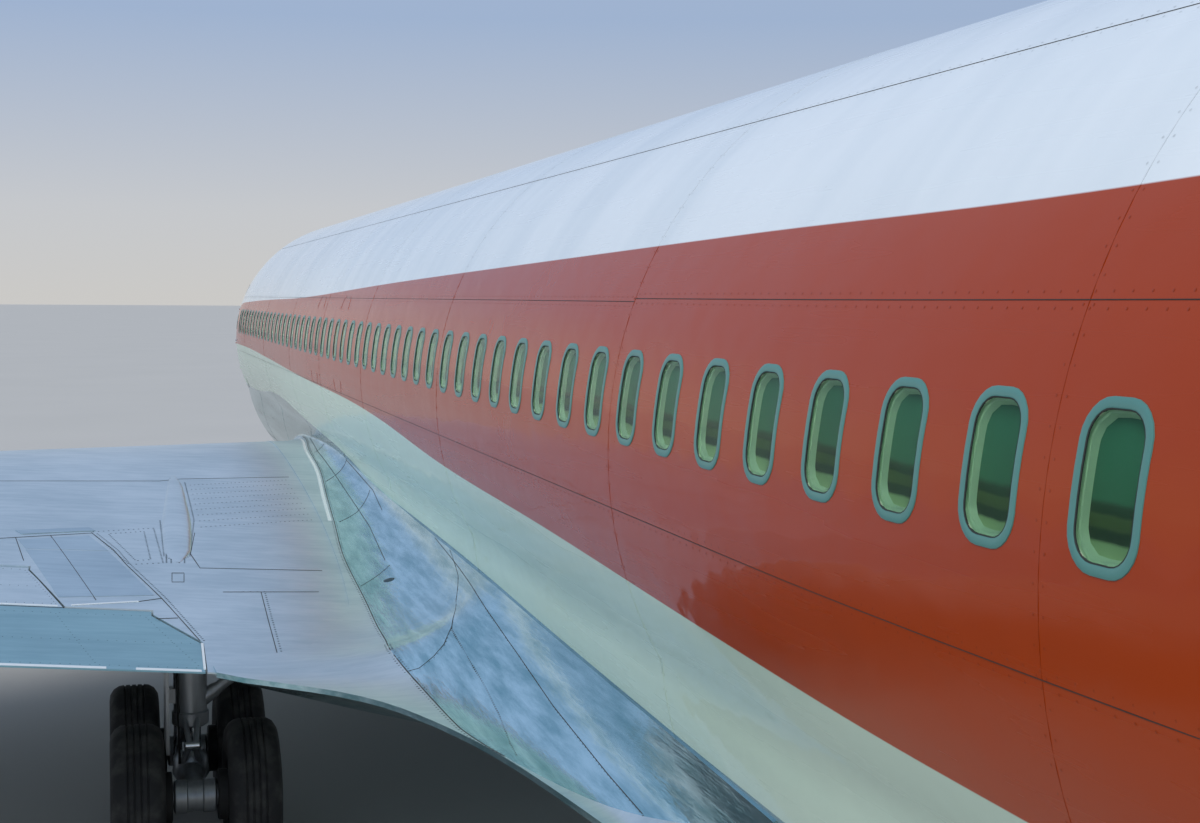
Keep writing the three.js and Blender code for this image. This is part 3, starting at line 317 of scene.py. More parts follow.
def rivet(shape, point, normal, radius, height, look=0):
    """A low domed rivet head."""
    normal = Vector(normal).normalized()
    base = circle(Vector(point), across(normal), radius, RIVET_SIDES)
    top = Vector(point) + normal * height
    faces = [(k, (k + 1) % RIVET_SIDES, RIVET_SIDES) for k in range(RIVET_SIDES)]
    shape.add(base + [top], faces + [tuple(range(RIVET_SIDES))[::-1]], look)


# The body's skin

BODY_ROWS = (
    # station, half width, top, bottom, level of the widest line, how much of the crease there is
    (0, 25, -700, -745, -722, 0),
    (120, 215, -505, -935, -720, 0),
    (350, 390, -330, -1115, -710, 0),
    (950, 720, -40, -1450, -670, 0),
    (1900, 1110, 330, -1800, -560, 0.1),
    (3000, 1430, 1200, -2080, -390, 0.3),
    (4500, 1690, 1620, -2310, -200, 0.6),
    (6200, 1830, 1810, -2420, -60, 0.9),
    (8000, 1880, 1880, -2450, 0, 1),
    (31000, 1880, 1880, -2450, 0, 1),
    (33500, 1860, 1880, -2280, 10, 0.95),
    (36000, 1740, 1865, -1880, 60, 0.8),
    (38500, 1450, 1790, -1280, 210, 0.5),
    (41000, 1050, 1640, -580, 450, 0.2),
    (43000, 650, 1440, 60, 700, 0),
    (44000, 380, 1270, 450, 850, 0),
    (44350, 170, 1110, 690, 900, 0),
)
CREASE_ANGLE = math.asin(-CREASE_DROP / BODY_RADIUS)
LOWER_START = math.asin((LOWER_DROP - CREASE_DROP) / LOWER_RADIUS)
CREASE_ARC = (math.pi / 2 - CREASE_ANGLE) * BODY_RADIUS
KEEL_ARC = CREASE_ARC + (LOWER_START + math.pi / 2) * LOWER_RADIUS


def arc_at(degrees):
    """The arc at an angle above the level through the upper body's centre."""
    return math.radians(90 - degrees) * BODY_RADIUS


def arc_of(level):
    return arc_at(math.degrees(math.asin(level / BODY_RADIUS)))


@functools.lru_cache(maxsize=None)
def body_values(station):
    return tuple(smooth(BODY_ROWS, column, station) for column in range(1, 6))


def skin_at(station, arc):
    half, top, bottom, middle, crease = body_values(station)
    if arc <= CREASE_ARC:
        angle = math.pi / 2 - arc / BODY_RADIUS
        x, z = BODY_RADIUS * math.cos(angle), BODY_RADIUS * math.sin(angle)
    else:
        angle = LOWER_START - (arc - CREASE_ARC) / LOWER_RADIUS
        x, z = LOWER_RADIUS * math.cos(angle), LOWER_RADIUS * math.sin(angle) - LOWER_DROP
    out = x / BODY_RADIUS
    rise = z / BODY_RADIUS if z > 0 else z / BODY_DEPTH
    turn = math.atan2(rise, out)
    rises = lerp(math.sin(turn), rise, crease)
    level = middle + rises * (top - middle if rises > 0 else middle - bottom)
    return Vector((half * lerp(math.cos(turn), out, crease), y_of(station), z_of(level)))


def skin_normal(station, arc):
    reach = 8
    along = skin_at(station + reach, arc) - skin_at(station - reach, arc)
    down = skin_at(station, arc + reach) - skin_at(station, arc - reach)
    return down.cross(along).normalized()


def body_point(station, arc, lift=0.0):
    point = skin_at(station, arc)
    return point + skin_normal(station, arc) * lift if lift else point


# Cabin windows: blind openings in the skin, at one pitch, each with its frame and pane
WINDOW_PITCH = 508
WINDOW_ORIGIN = 33240
WINDOWS = range(-3, 52)
WINDOW_ARC = arc_at(7.5)
WINDOW_HALF = (139.5, 205.5)
WINDOW_CORNER = 104
CELL_HALF = (WINDOW_PITCH / 2, 260)
CELL_STEPS = (6, 8)
HOLE_INSET = 29
REVEAL_DEPTH = 31
REVEAL_TAPER = 0.92
HALVINGS = 30


def window_station(n):
    return WINDOW_ORIGIN - n * WINDOW_PITCH


def cell_loop():
    """Points round a window's cell, as (station, arc) from its middle."""
    wide, high = CELL_HALF
    along, down = CELL_STEPS
    across_cell = [lerp(-wide, wide, k / along) for k in range(along)]
    down_cell = [lerp(-high, high, k / down) for k in range(down)]
    loop = [(s, -high) for s in across_cell] + [(wide, a) for a in down_cell]
    return loop + [(-s, high) for s in across_cell] + [(-wide, -a) for a in down_cell]


def hole_loop(loop, inset):
    """For each point of a loop, where the line from the middle to it crosses a rounded opening."""
    wide, high = (half - inset for half in WINDOW_HALF)
    corner = WINDOW_CORNER - inset
    found = []
    for s, a in loop:
        low, far = 0.0, 1.0
        for _ in range(HALVINGS):
            share = (low + far) / 2
            beyond = (max(abs(s * share) - wide + corner, 0), max(abs(a * share) - high + corner, 0))
            if math.hypot(*beyond) > corner:
                far = share
            else:
                low = share
        found.append((s * low, a * low))
    return found


SKIN_STEP = 112
SKIN_STEPS = {"by windows": 120, "nose": 80, "plain": 130}
NOSE_REACH = 5000
POCKET_WALL = (
    # how narrow the ring is, its depth as a share of the reveal's, and the look of the wall before it
    (1, 0, 0),
    (1, -0.4, 1),
    (0.5 + REVEAL_TAPER / 2, -0.45, 1),
    (REVEAL_TAPER, -1, 1),
)
POCKET_BACK = 2


def skin_grid(start, end, windows):
    """The stations and arcs of the skin's grid, and the two stations between which its windows lie."""
    low, high = WINDOW_ARC - CELL_HALF[1], WINDOW_ARC + CELL_HALF[1]
    arcs = steps(0, low, SKIN_STEP) + steps(low, high, 2 * CELL_HALF[1] / CELL_STEPS[1])[1:]
    arcs += steps(high, CREASE_ARC, SKIN_STEP)[1:] + steps(CREASE_ARC, KEEL_ARC, SKIN_STEP)[1:]
    if not windows:
        return steps(start, end, SKIN_STEPS["nose" if start < NOSE_REACH else "plain"]), arcs, (end, end)
    zone = (window_station(windows[0]) - CELL_HALF[0], window_station(windows[-1]) + CELL_HALF[0])
    stations = steps(*zone, WINDOW_PITCH / CELL_STEPS[0])
    if zone[0] - start > 1:
        stations = steps(start, zone[0], SKIN_STEPS["by windows"])[:-1] + stations
    if end - zone[1] > 1:
        stations += steps(zone[1], end, SKIN_STEPS["by windows"])[1:]
    return stations, arcs, zone


def skin_shape(start, end, windows=()):
    """A closed length of the body, with a pocket behind each cabin window on both sides."""
    windows = sorted(windows, reverse=True)
    stations, arcs, zone = skin_grid(start, end, windows)
    made = Shape()
    index = {}
    loop = cell_loop()
    hole = hole_loop(loop, HOLE_INSET)

    def new(point, sign=1):
        made.points.append((point.x * sign, point.y, point.z))
        return len(made.points) - 1

    def vertex(station, arc, sign):
        key = (round(station, 2), round(arc, 2), 0 if arc < 1 or arc > KEEL_ARC - 1 else sign)
        if key not in index:
            index[key] = new(skin_at(station, arc), sign)
        return index[key]

    def face(corners, look=0):
        made.faces.append(tuple(corners))
        made.looks.append(look)

    def window_pocket(centre, sign):
        ring = [vertex(centre + s, WINDOW_ARC + a, sign) for s, a in loop]
        for narrow, depth, look in POCKET_WALL:
            places = [(centre + s * narrow, WINDOW_ARC + a * narrow) for s, a in hole]
            inner = [new(body_point(*place, depth * REVEAL_DEPTH), sign) for place in places]
            for i in range(len(loop)):
                j = (i + 1) % len(loop)
                face([ring[i], ring[j], inner[j], inner[i]], look)
            ring = inner
        hub = new(body_point(centre, WINDOW_ARC, -REVEAL_DEPTH), sign)
        for i in range(len(loop)):
            face([ring[i], ring[(i + 1) % len(loop)], hub], POCKET_BACK)

    for _, sign in SIDES:
        for s0, s1 in zip(stations, stations[1:]):
            for a0, a1 in zip(arcs, arcs[1:]):
                in_band = abs((a0 + a1) / 2 - WINDOW_ARC) < CELL_HALF[1]
                if not (in_band and zone[0] < (s0 + s1) / 2 < zone[1]):
                    face([vertex(s, a, sign) for s, a in ((s0, a0), (s1, a0), (s1, a1), (s0, a1))])
        for n in windows:
            window_pocket(window_station(n), sign)
    for station in (start, end):
        hub = new(Vector((0, y_of(station), z_of(body_values(station)[3]))))
        for _, sign in SIDES:
            for a0, a1 in zip(arcs, arcs[1:]):
                face([vertex(station, a0, sign), vertex(station, a1, sign), hub])
    return made


def skin_ring(shape, centre_station, centre_arc, half, corner, section, look=0):
    """A band that follows the skin round a rounded outline: section holds (inset, lift) points."""
    rings = []
    for inset, lift in section:
        outline = rounded(half[0] - inset, half[1] - inset, max(corner - inset, 1))
        rings.append([body_point(centre_station + s, centre_arc + a, lift) for s, a in outline])
    return shape.loft(rings, look, closed=True)


def skin_pane(shape, centre_station, centre_arc, half, corner, lifts, look=0):
    """A closed pane that follows the skin, between two lifts."""
    outline = rounded(*half, corner)
    count = len(outline)
    points = []
    for lift in lifts:
        for share in (1, 0.5):
            places = [(centre_station + s * share, centre_arc + a * share) for s, a in outline]
            points += [body_point(*place, lift) for place in places]
        points.append(body_point(centre_station, centre_arc, lift))
    layer = 2 * count + 1
    faces = [(i, (i + 1) % count, layer + (i + 1) % count, layer + i) for i in range(count)]
    for base in (0, layer):
        for i in range(count):
            j = (i + 1) % count
            faces.append((base + i, base + j, base + count + j, base + count + i))
            faces.append((base + count + i, base + count + j, base + 2 * count))
    return shape.add(points, faces, look)


# Wing and tail surfaces

WING_INNER_X = 1200
WING_TIP_X = 22210
WING_KINK_X = 8300
WING_ROOT_STATION = 13200
WING_SWEEP = 0.7845
WING_BACK_STATION = 25900
WING_BACK_SWEEP = 0.446
WING_LEVEL = -1620
WING_LEVEL_X = 4000
DIHEDRAL = (0.09, 0.125)
INCIDENCE = (0.6, -1.0)
THICKNESS = (0.096, 0.09)
TIP_TAPER = (0.6, 0.4)
EDGE_HALF = 5
SPAN_STEP = 900
CHORD_SHARES = [(k / 30) ** 1.7 for k in range(31)]


def half_thickness(u):
    return 5 * (0.2969 * math.sqrt(u) - 0.126 * u - 0.3516 * u**2 + 0.2843 * u**3 - 0.1036 * u**4)


def wing_row(x, chord_share=1.0, thickness_share=1.0):
    """A row of the wing: incidence and thickness run from root to tip, dihedral changes at the kink."""
    front = WING_ROOT_STATION + (x - BODY_RADIUS) * WING_SWEEP
    back = WING_BACK_STATION + max(0, x - WING_KINK_X) * WING_BACK_SWEEP
    share = (x - BODY_RADIUS) / (WING_TIP_X - BODY_RADIUS)
    chord = back - front
    incidence = math.radians(lerp(*INCIDENCE, share))
    inner, outer = min(x, WING_KINK_X) - WING_LEVEL_X, max(x - WING_KINK_X, 0)
    back_level = WING_LEVEL + inner * DIHEDRAL[0] + outer * DIHEDRAL[1]
    return (
        x,
        front + (1 - chord_share) * chord * TIP_TAPER[0],
        back - (1 - chord_share) * chord * TIP_TAPER[1],
        back_level + chord * math.sin(incidence),
        back_level,
        chord * lerp(*THICKNESS, share) * thickness_share,
    )


# Each row of a surface: span, leading and trailing edge stations, their levels, thickness
WING = (
    wing_row(WING_INNER_X),
    wing_row(WING_KINK_X),
    wing_row(14500),
    wing_row(WING_TIP_X - 500),
    wing_row(WING_TIP_X - 150, 0.93, 0.72),
    wing_row(WING_TIP_X, 0.8, 0.3),
)
STABILISER = (
    (350, 39120, 43650, 480, 480, 470),
    (900, 39600, 43900, 550, 550, 440),
    (6725, 44550, 46500, 1265, 1265, 175),
    (6975, 45200, 46610, 1300, 1300, 60),
)
FIN = (
    (z_of(900), 35900, 42650, 0, 0, 640),
    (z_of(1750), 36600, 42900, 0, 0, 600),
    (12670, 42120, 44950, 0, 0, 260),
    (12930, 42700, 44900, 0, 0, 90),
)


def row_at(foil, span):
    i = min(max(bisect.bisect_right([row[0] for row in foil], span) - 1, 0), len(foil) - 2)
    return between(foil[i], foil[i + 1], (span - foil[i][0]) / (foil[i + 1][0] - foil[i][0]))


def foil_point(foil, span, u, side, lift=0.0):
    """A point by span and chord share: side 1 is the upper or left skin, and -1 the other."""
    _, front, back, front_level, back_level, thickness = row_at(foil, span)
    half = side * (thickness * half_thickness(u) + EDGE_HALF * u + lift)
    y = y_of(lerp(front, back, u))
    if foil is FIN:
        return Vector((half, y, span))
    return Vector((span, y, z_of(lerp(front_level, back_level, u)) + half))


def share_at(foil, span, station):
    _, front, back, *_ = row_at(foil, span)
    return (station - front) / (back - front)


def foil_at(foil, span, station, side=1, lift=0.0):
    """The same by station."""
    return foil_point(foil, span, min(max(share_at(foil, span, station), 0), 1), side, lift)


def on_foil(foil, side=1):
    """A skin of a wing or tail surface, by span and station."""
    reach = 20
    flip = -side if foil is FIN else side

    def surface(span, station):
        out = foil_at(foil, span + reach, station, side) - foil_at(foil, span - reach, station, side)
        aft = foil_at(foil, span, station + reach, side) - foil_at(foil, span, station - reach, side)
        return foil_at(foil, span, station, side), out.cross(aft).normalized() * flip

    return surface


def share_line(foil, share, spans):
    """A line at one share of the chord, as (span, station) points."""
    return [(span, lerp(*row_at(foil, span)[1:3], share)) for span in spans]


def tree_of(name):
    """One of the frame's own pieces, ready to find where a line meets it."""
    mesh = frame["nodes"][name].data
    faces = [tuple(face.vertices) for face in mesh.polygons]
    return BVHTree.FromPolygons([v.co for v in mesh.vertices], faces)


def on_node(name, foil):
    """The upper, or for the fin the left, face of one of the frame's own pieces, by span and station."""
    tree = tree_of(name)
    far = 20000

    def surface(span, station):
        start = (far, y_of(station), span) if foil is FIN else (span, y_of(station), far)
        aim = Vector((-1, 0, 0)) if foil is FIN else Vector((0, 0, -1))
        place, normal, _, _ = tree.ray_cast(Vector(start) * MODEL, aim)
        if place is None:
            return foil_at(foil, span, station), -aim
        return place / MODEL, normal

    return surface


def foil_shape(foil):
    spans = []
    for row, after in zip(foil, foil[1:]):
        spans += steps(row[0], after[0], SPAN_STEP)[:-1]
    spans.append(foil[-1][0])
    rings = []
    for span in spans:
        upper = [foil_point(foil, span, u, 1) for u in reversed(CHORD_SHARES)]
        lower = [foil_point(foil, span, u, -1) for u in CHORD_SHARES[1:]]
        rings.append(upper + lower)
    return Shape().loft(rings)


HINGED = (
    # name, surface, kind, hinge start (span, station), hinge end, reach aft, and how far its inner end
    # runs inboard over which distance aft of the hinge
    ("flap_inboard", WING, "flap", 3740, 24700, 7850, 24700, 2600, 310, 630),
    ("aileron_inboard", WING, "both", 8010, 24700, 9130, 24700, 2600, 0, 2600),
    ("flap_outboard", WING, "flap", 9900, 25370, 14600, 27620, 2600, 0, 2600),
    ("aileron_outboard", WING, "both", 15200, 27950, 19600, 30050, 2600, 0, 2600),
    ("spoiler_inboard", WING, "spoiler", 4560, 23640, 7600, 23640, 985, 270, 985),
    ("spoiler_outboard", WING, "spoiler", 10250, 24420, 14150, 26290, 950, 0, 950),
    ("elevator", STABILISER, "both", 1350, 42780, 6350, 45600, 2600, 0, 2600),
    ("rudder", FIN, "both", z_of(2150), 41450, 12180, 43980, 3600, 0, 3600),
)
HINGE_NOSE = {"flap": 36, "spoiler": 28}
SPOILER_INSET = 32
SPOILER_THICK = (62, 20)
SPOILER_DROP = 12
SLANT_LEAD = 60
SKIN_SIDE = {"flap": -1, "spoiler": 1, "both": 0}
SKIN_RUN = 1200
TALL = 900
STRIP_LAP = 0.5
NOSE_SIDES = 24


def hinge_frame(row):
    """Origin, aft, up and along directions and length of a hinge, on the joint's own line."""
    name, foil, kind, span, station, end_span, end_station = row[:7]
    joint = JOINTS[f"{name}_hinge" if name == "rudder" else f"{name}_left_hinge"]
    origin = Vector(joint["pos_m"]) / MODEL
    towards = foil_at(foil, end_span, end_station, 0) - foil_at(foil, span, station, 0)
    along = Vector(joint["axis"]).normalized()
    if along.dot(towards) < 0:
        along = -along
    side = SKIN_SIDE[kind]
    aft = foil_at(foil, span, station + SKIN_RUN, side) - foil_at(foil, span, station, side)
    if foil is FIN:
        aft = Vector((0, 1, 0))
    aft = (aft - along * aft.dot(along)).normalized()
    return origin, aft, along.cross(aft), along, towards.length


def inner_slope(row):
    """How much further inboard a hinged piece's inner end lies for each step aft."""
    return row[8] / (row[9] - SLANT_LEAD)


def inner_run(row, back):
    """How far inboard of the hinge's start that end lies, at a distance aft of the hinge."""
    return inner_slope(row) * min(max(back - SLANT_LEAD, 0), row[9] - SLANT_LEAD)


def pocket(row, grow):
    """Closed cutters for the room that a hinged piece moves in: its round nose, and strips aft of it."""
    _, foil, kind, span, station, end_span, end_station, reach, slant, slant_reach = row
    origin, aft, up, along, length = hinge_frame(row)
    start, end = -grow * math.hypot(1, inner_slope(row)), length + grow

    def half(where, at_station):
        return row_at(foil, where)[5] * half_thickness(share_at(foil, where, at_station))

    if kind == "both":
        noses = (half(span, station), half(end_span, end_station))
    else:
        noses = (HINGE_NOSE[kind],) * 2
    turns = [2 * math.pi * k / NOSE_SIDES for k in range(NOSE_SIDES)]
    rings = []
    for d, nose in ((start, noses[0] + grow), (end, noses[1] + grow)):
        rings.append([origin + (aft * math.cos(a) + up * math.sin(a)) * nose + along * d for a in turns])
    cutters = [Shape().loft(rings)]

    def strip(a0, a1, low0, low1):
        corners = ((a0, low0), (a1, low1), (a1, TALL), (a0, TALL))
        inner = [origin + aft * a + up * h + along * (start - inner_run(row, a)) for a, h in corners]
        outer = [origin + aft * a + up * h + along * end for a, h in corners]
        cutters.append(Shape().loft([inner, outer]))

    reach += grow
    edges = [0, SLANT_LEAD, slant_reach, reach] if slant else [0, reach]
    front, back = -TALL, -TALL
    if kind == "spoiler":
        front, back = (SPOILER_INSET - thick - grow for thick in SPOILER_THICK)
        back -= SPOILER_DROP
    if kind != "both":
        strip(-noses[0] - grow, STRIP_LAP, 0, 0)
    for a0, a1 in zip(edges, edges[1:]):
        lows = [lerp(front, back, a / reach) for a in (a0, a1)]
        strip(a0, min(a1 + STRIP_LAP, reach), *lows)
    return cutters


# Looks


class Look:
    """A node material, put together by short calls."""

    def __init__(self, name, **sockets):
        self.material = bpy.data.materials.new(name)
        self.material.use_nodes = True
        self.tree = self.material.node_tree
        self.shader = self.tree.nodes["Principled BSDF"]
        place = self.tree.nodes.new("ShaderNodeTexCoord")
        self.place = place.outputs["Object"]
        self.set(**sockets)

    def set(self, **sockets):
        for name, value in sockets.items():
            self.feed(self.shader.inputs[name.replace("_", " ")], value)
        return self

    def feed(self, socket, value):
        if isinstance(value, bpy.types.NodeSocket):
            self.tree.links.new(value, socket)
        elif hasattr(value, "__len__") and len(value) == 3 and len(socket.default_value) == 4:
            socket.default_value = (*value, 1)
        else:
            socket.default_value = value

    def node(self, kind, settings=None, **inputs):
        made = self.tree.nodes.new("ShaderNode" + kind)
        for name, value in (settings or {}).items():
            setattr(made, name, value)
        for name, value in inputs.items():
            self.feed(made.inputs[int(name[1:]) if name[1:].isdigit() else name.replace("_", " ")], value)
        return made

    def math(self, operation, *values, clamp=False):
        inputs = {f"i{k}": value for k, value in enumerate(values)}
        return self.node("Math", {"operation": operation, "use_clamp": clamp}, **inputs).outputs[0]

    def stretched(self, scale):
        return self.node("Mapping", Vector=self.place, Scale=scale).outputs[0]

    def noise(self, scale, detail=3.0, rough=0.55, vector=None):
        made = self.node("TexNoise", Scale=scale, Detail=detail, Roughness=rough, Vector=vector or self.place)
        return made.outputs[0]

    def range(self, value, low, high):
        """Carries 0..1 to low..high."""
        return self.node("MapRange", Value=value, To_Min=low, To_Max=high).outputs[0]

    def mix(self, share, a, b):
        made = self.node("Mix", {"data_type": "RGBA"})
        self.feed(made.inputs[0], share)
        self.feed(made.inputs[6], a)
        self.feed(made.inputs[7], b)
        return made.outputs[2]

    def bump(self, height, distance, strength=1.0):
        made = self.node("Bump", Strength=strength, Distance=distance, Height=height)
        return self.set(Normal=made.outputs[0])

    def contrast(self, value, low, high):
        """0 below low, 1 above high."""
        curve = {"interpolation_type": "SMOOTHSTEP"}
        return self.node("MapRange", curve, Value=value, From_Min=low, From_Max=high).outputs[0]


WHITE = (0.74, 0.79, 0.80)
CROWN = (0.74, 0.80, 0.84)
CROWN_WORN = (0.66, 0.73, 0.78)
# The white stripe below the red band is white paint made darker and greener: painted shade and painted
# reflection of the ground.
STRIPE_SHADED = (0.55, 0.69, 0.58)
STRIPE_SHADED_WORN = (0.46, 0.61, 0.50)
RED = (0.37, 0.046, 0.002)
RED_WORN = (0.30, 0.032, 0.001)
# The bare metal belly is darkened, with darker streaks: painted shade and painted dark reflection of the
# ground.
BARE_SHADED = (0.28, 0.45, 0.46)
BARE_SHADED_STREAK = (0.13, 0.25, 0.24)

RED_TOP = (
    # station, level
    (0, -420), (1900, -330), (3000, 60), (4500, 380), (6500, 520), (9000, 575), (12500, 615), (15900, 644),
    (22900, 785), (27600, 864), (30500, 909), (33200, 947), (36000, 1100), (38500, 1370), (40500, 1620),
    (42000, 1800), (46610, 1900),
)
RED_LOW = (
    (0, -430), (1900, -400), (3000, -300), (4500, -215), (6500, -165), (9000, -150), (12500, -190),
    (16800, -256), (22100, -318), (25550, -477), (28100, -535), (30900, -627), (32400, -660),
    (34500, -640), (36500, -500), (39000, -100), (41500, 320), (43200, 620), (46610, 900),
)
STRIPE_LOW = (
    (0, -800), (3000, -860), (6000, -900), (9000, -850), (12830, -700), (16000, -850), (19000, -990),
    (20700, -1090), (23800, -1140), (25300, -1165), (27500, -1235), (29000, -1270), (30000, -1290),
    (33500, -1290), (36000, -1090), (38500, -620), (41000, -90), (43000, 400), (46610, 800),
)
STATION_SPAN = 50000
LEVEL_SPAN = 5000


def edge_mask(look, place, rows, feather=5.0):
    """1 above a line on the body whose level is given by station, 0 below it."""
    y, z = place.outputs[1], place.outputs[2]
    along = look.math("MULTIPLY_ADD", y, 1 / (MODEL * STATION_SPAN), LENGTH / 2 / STATION_SPAN)
    level = look.math("MULTIPLY_ADD", z, 1 / (MODEL * LEVEL_SPAN), (LEVEL_SPAN / 2 - BODY_Z) / LEVEL_SPAN)
    curve = look.node("FloatCurve", Value=along)
    points = curve.mapping.curves[0].points
    places = [(station / STATION_SPAN, height / LEVEL_SPAN + 0.5) for station, height in rows]
    points[0].location = places[0]
    points[1].location = places[-1]
    for spot in places[1:-1]:
        points.new(*spot)
    curve.mapping.update()
    above = look.math("SUBTRACT", level, curve.outputs[0])
    return look.math("MULTIPLY_ADD", above, LEVEL_SPAN / feather, 0.5, clamp=True)


def body_paint(name, shade=1.0):
    """White crown, glossy orange-red band, white stripe and bare metal belly, all darkened by the shade
    argument; the stripe's and the belly's colours hold painted shade and painted ground reflection.
    """
    look = Look(name, Coat_Weight=0.45, Coat_Roughness=0.025, Coat_IOR=1.36, Specular_IOR_Level=0.12)
    place = look.node("SeparateXYZ", Vector=look.place)
    top, low, stripe = (edge_mask(look, place, rows) for rows in (RED_TOP, RED_LOW, STRIPE_LOW))
    blotch = look.noise(1.3, 5, vector=look.stretched((1, 0.35, 1)))
    streak = look.noise(6, 4, vector=look.stretched((1, 0.08, 1.6)))
    hoops = look.noise(3, 3, vector=look.stretched((0.15, 1, 0.15)))
    crown, crown_worn, stripe_white_shaded, stripe_shaded_worn, red, red_worn, bare, bare_shaded_streak = (
        tuple(shade * part for part in colour)
        for colour in (CROWN, CROWN_WORN, STRIPE_SHADED, STRIPE_SHADED_WORN, RED, RED_WORN, BARE_SHADED, BARE_SHADED_STREAK)
    )
    white = look.mix(look.contrast(hoops, 0.35, 0.7), crown, crown_worn)
    # the stripe's colour holds painted shade and painted ground reflection, varied by blotches
    lower_white = look.mix(look.range(blotch, 0.1, 0.75), stripe_white_shaded, stripe_shaded_worn)
    band = look.mix(look.range(blotch, 0.0, 0.8), red, red_worn)
    # darker streaks on the belly: painted shade and painted reflection
    metal_skin = look.mix(look.contrast(streak, 0.35, 0.7), bare, bare_shaded_streak)
    colour = look.mix(stripe, metal_skin, lower_white)
    colour = look.mix(low, colour, band)
    colour = look.mix(top, colour, white)
    bare_share = look.math("SUBTRACT", 1.0, stripe)
    look.set(Base_Color=colour, Metallic=look.math("MULTIPLY", bare_share, 0.92))
    painted, matt = look.range(streak, 0.2, 0.34), look.range(streak, 0.16, 0.34)
    look.set(Roughness=look.math("MULTIPLY_ADD", look.math("SUBTRACT", matt, painted), bare_share, painted))
    waves = look.noise(3.0, 2, vector=look.stretched((1.0, 1.3, 2.2)))
    fine = look.noise(11, 2, vector=look.stretched((1, 0.7, 1.2)))
    look.bump(look.math("MULTIPLY_ADD", fine, 0.14, waves), 0.006, 0.5)
    look.set(Coat_Normal=look.shader.inputs["Normal"].links[0].from_socket)
    return look.material


METAL_USUAL = {"rough": (0.22, 0.42), "grain": (1, 1, 0.1), "metallic": 0.95, "bump": 0.0006, "cloud": 0.6}


def metal(name, base, darker, **changes):
    """Bare or painted metal with a grain, blotches and faint waves."""
    rough, grain, metallic, bump, cloud = {**METAL_USUAL, **changes}.values()
    look = Look(name, Metallic=metallic)
    lines = look.noise(24, 5, 0.65, look.stretched(grain))
    blotch = look.noise(2.4, 4)
    share = look.math("MULTIPLY_ADD", lines, 1.05 - cloud, look.math("MULTIPLY", blotch, cloud))
    look.set(Base_Color=look.mix(look.contrast(share, 0.3, 0.75), base, darker))
    look.set(Roughness=look.range(lines, *rough))
    look.bump(look.math("MULTIPLY_ADD", lines, 0.3, blotch), bump * 8, 0.35)
    return look.material


def plain_paint(name, colour, darker, rough=(0.15, 0.3), coat=0.3):
    look = Look(name, Coat_Weight=coat, Coat_Roughness=0.06)
    blotch = look.noise(3.0, 5)
    look.set(Base_Color=look.mix(look.range(blotch, 0.0, 0.9), colour, darker))
    look.set(Roughness=look.range(look.noise(12, 3), *rough))
    look.bump(look.noise(5, 2), 0.004, 0.3)
    return look.material


def rubber():
    look = Look("rubber", Roughness=0.8)
    dust = look.noise(14, 6)
    look.set(Base_Color=look.mix(look.contrast(dust, 0.4, 0.75), (0.014, 0.014, 0.015), (0.06, 0.058, 0.054)))
    look.set(Roughness=look.range(dust, 0.65, 0.9))
    look.bump(look.noise(60, 4), 0.002, 0.4)
    return look.material


def glass(name, colour, transmission):
    look = Look(name, Transmission_Weight=transmission, IOR=1.12)
    smear = look.noise(5, 3)
    look.set(Base_Color=look.mix(smear, colour, tuple(0.85 * c for c in colour)))
    look.set(Roughness=look.range(smear, 0.0, 0.05))
    return look.material


CABIN_SHADE_BANDS = (
    # share of the window's height from its foot, and the colour painted there for the dim cabin: painted
    # shade, paler towards the foot
    (0.10, (0.36, 0.46, 0.24)),
    (0.185, (0.26, 0.36, 0.17)),
    (0.205, (0.010, 0.036, 0.014)),
    (0.255, (0.012, 0.040, 0.016)),
    (0.275, (0.056, 0.092, 0.026)),
    (0.335, (0.064, 0.104, 0.032)),
    (0.355, (0.010, 0.040, 0.018)),
    (0.395, (0.014, 0.060, 0.028)),
    (0.43, (0.034, 0.155, 0.085)),
    (0.80, (0.045, 0.180, 0.105)),
    (1.0, (0.014, 0.070, 0.036)),
)


def fill_ramp(ramp, rows):
    """Sets a ramp's colours from rows of (position, colour)."""
    for k, (position, colour) in ((0, rows[0]), (1, rows[-1])):
        ramp.elements[k].position = position
        ramp.elements[k].color = (*colour, 1)
    for position, colour in rows[1:-1]:
        ramp.elements.new(position).color = (*colour, 1)


def inner_pane_painted_shade():
    """The inner pane, painted with the dim cabin behind it as painted shade, in bands by height that are
    paler towards the foot.
    """
    look = Look("inner_pane_painted_shade", Roughness=0.5, Specular_IOR_Level=0.25)
    z = look.node("SeparateXYZ", Vector=look.place).outputs[2]
    level = BODY_RADIUS * math.sin(math.pi / 2 - WINDOW_ARC / BODY_RADIUS)
    foot, height = z_of(level) - WINDOW_HALF[1], 2 * WINDOW_HALF[1]
    share = look.math("MULTIPLY_ADD", z, 1 / (MODEL * height), -foot / height)
    each = look.range(look.noise(2.6, 1, vector=look.stretched((0.2, 1, 0.2))), -0.06, 0.06)
    ripple = look.range(look.noise(16, 2), -0.02, 0.02)
    ramp = look.node("ValToRGB", Fac=look.math("ADD", look.math("ADD", share, each), ripple))
    fill_ramp(ramp.color_ramp, CABIN_SHADE_BANDS)
    return look.set(Base_Color=ramp.outputs[0]).material


PAINT = body_paint("body_paint")
PAINT_SEAM = body_paint("painted_seam", 0.8)
METAL = metal("bare_metal", (0.78, 0.85, 0.86), (0.54, 0.64, 0.67), rough=(0.24, 0.42), grain=(0.2, 1, 1))
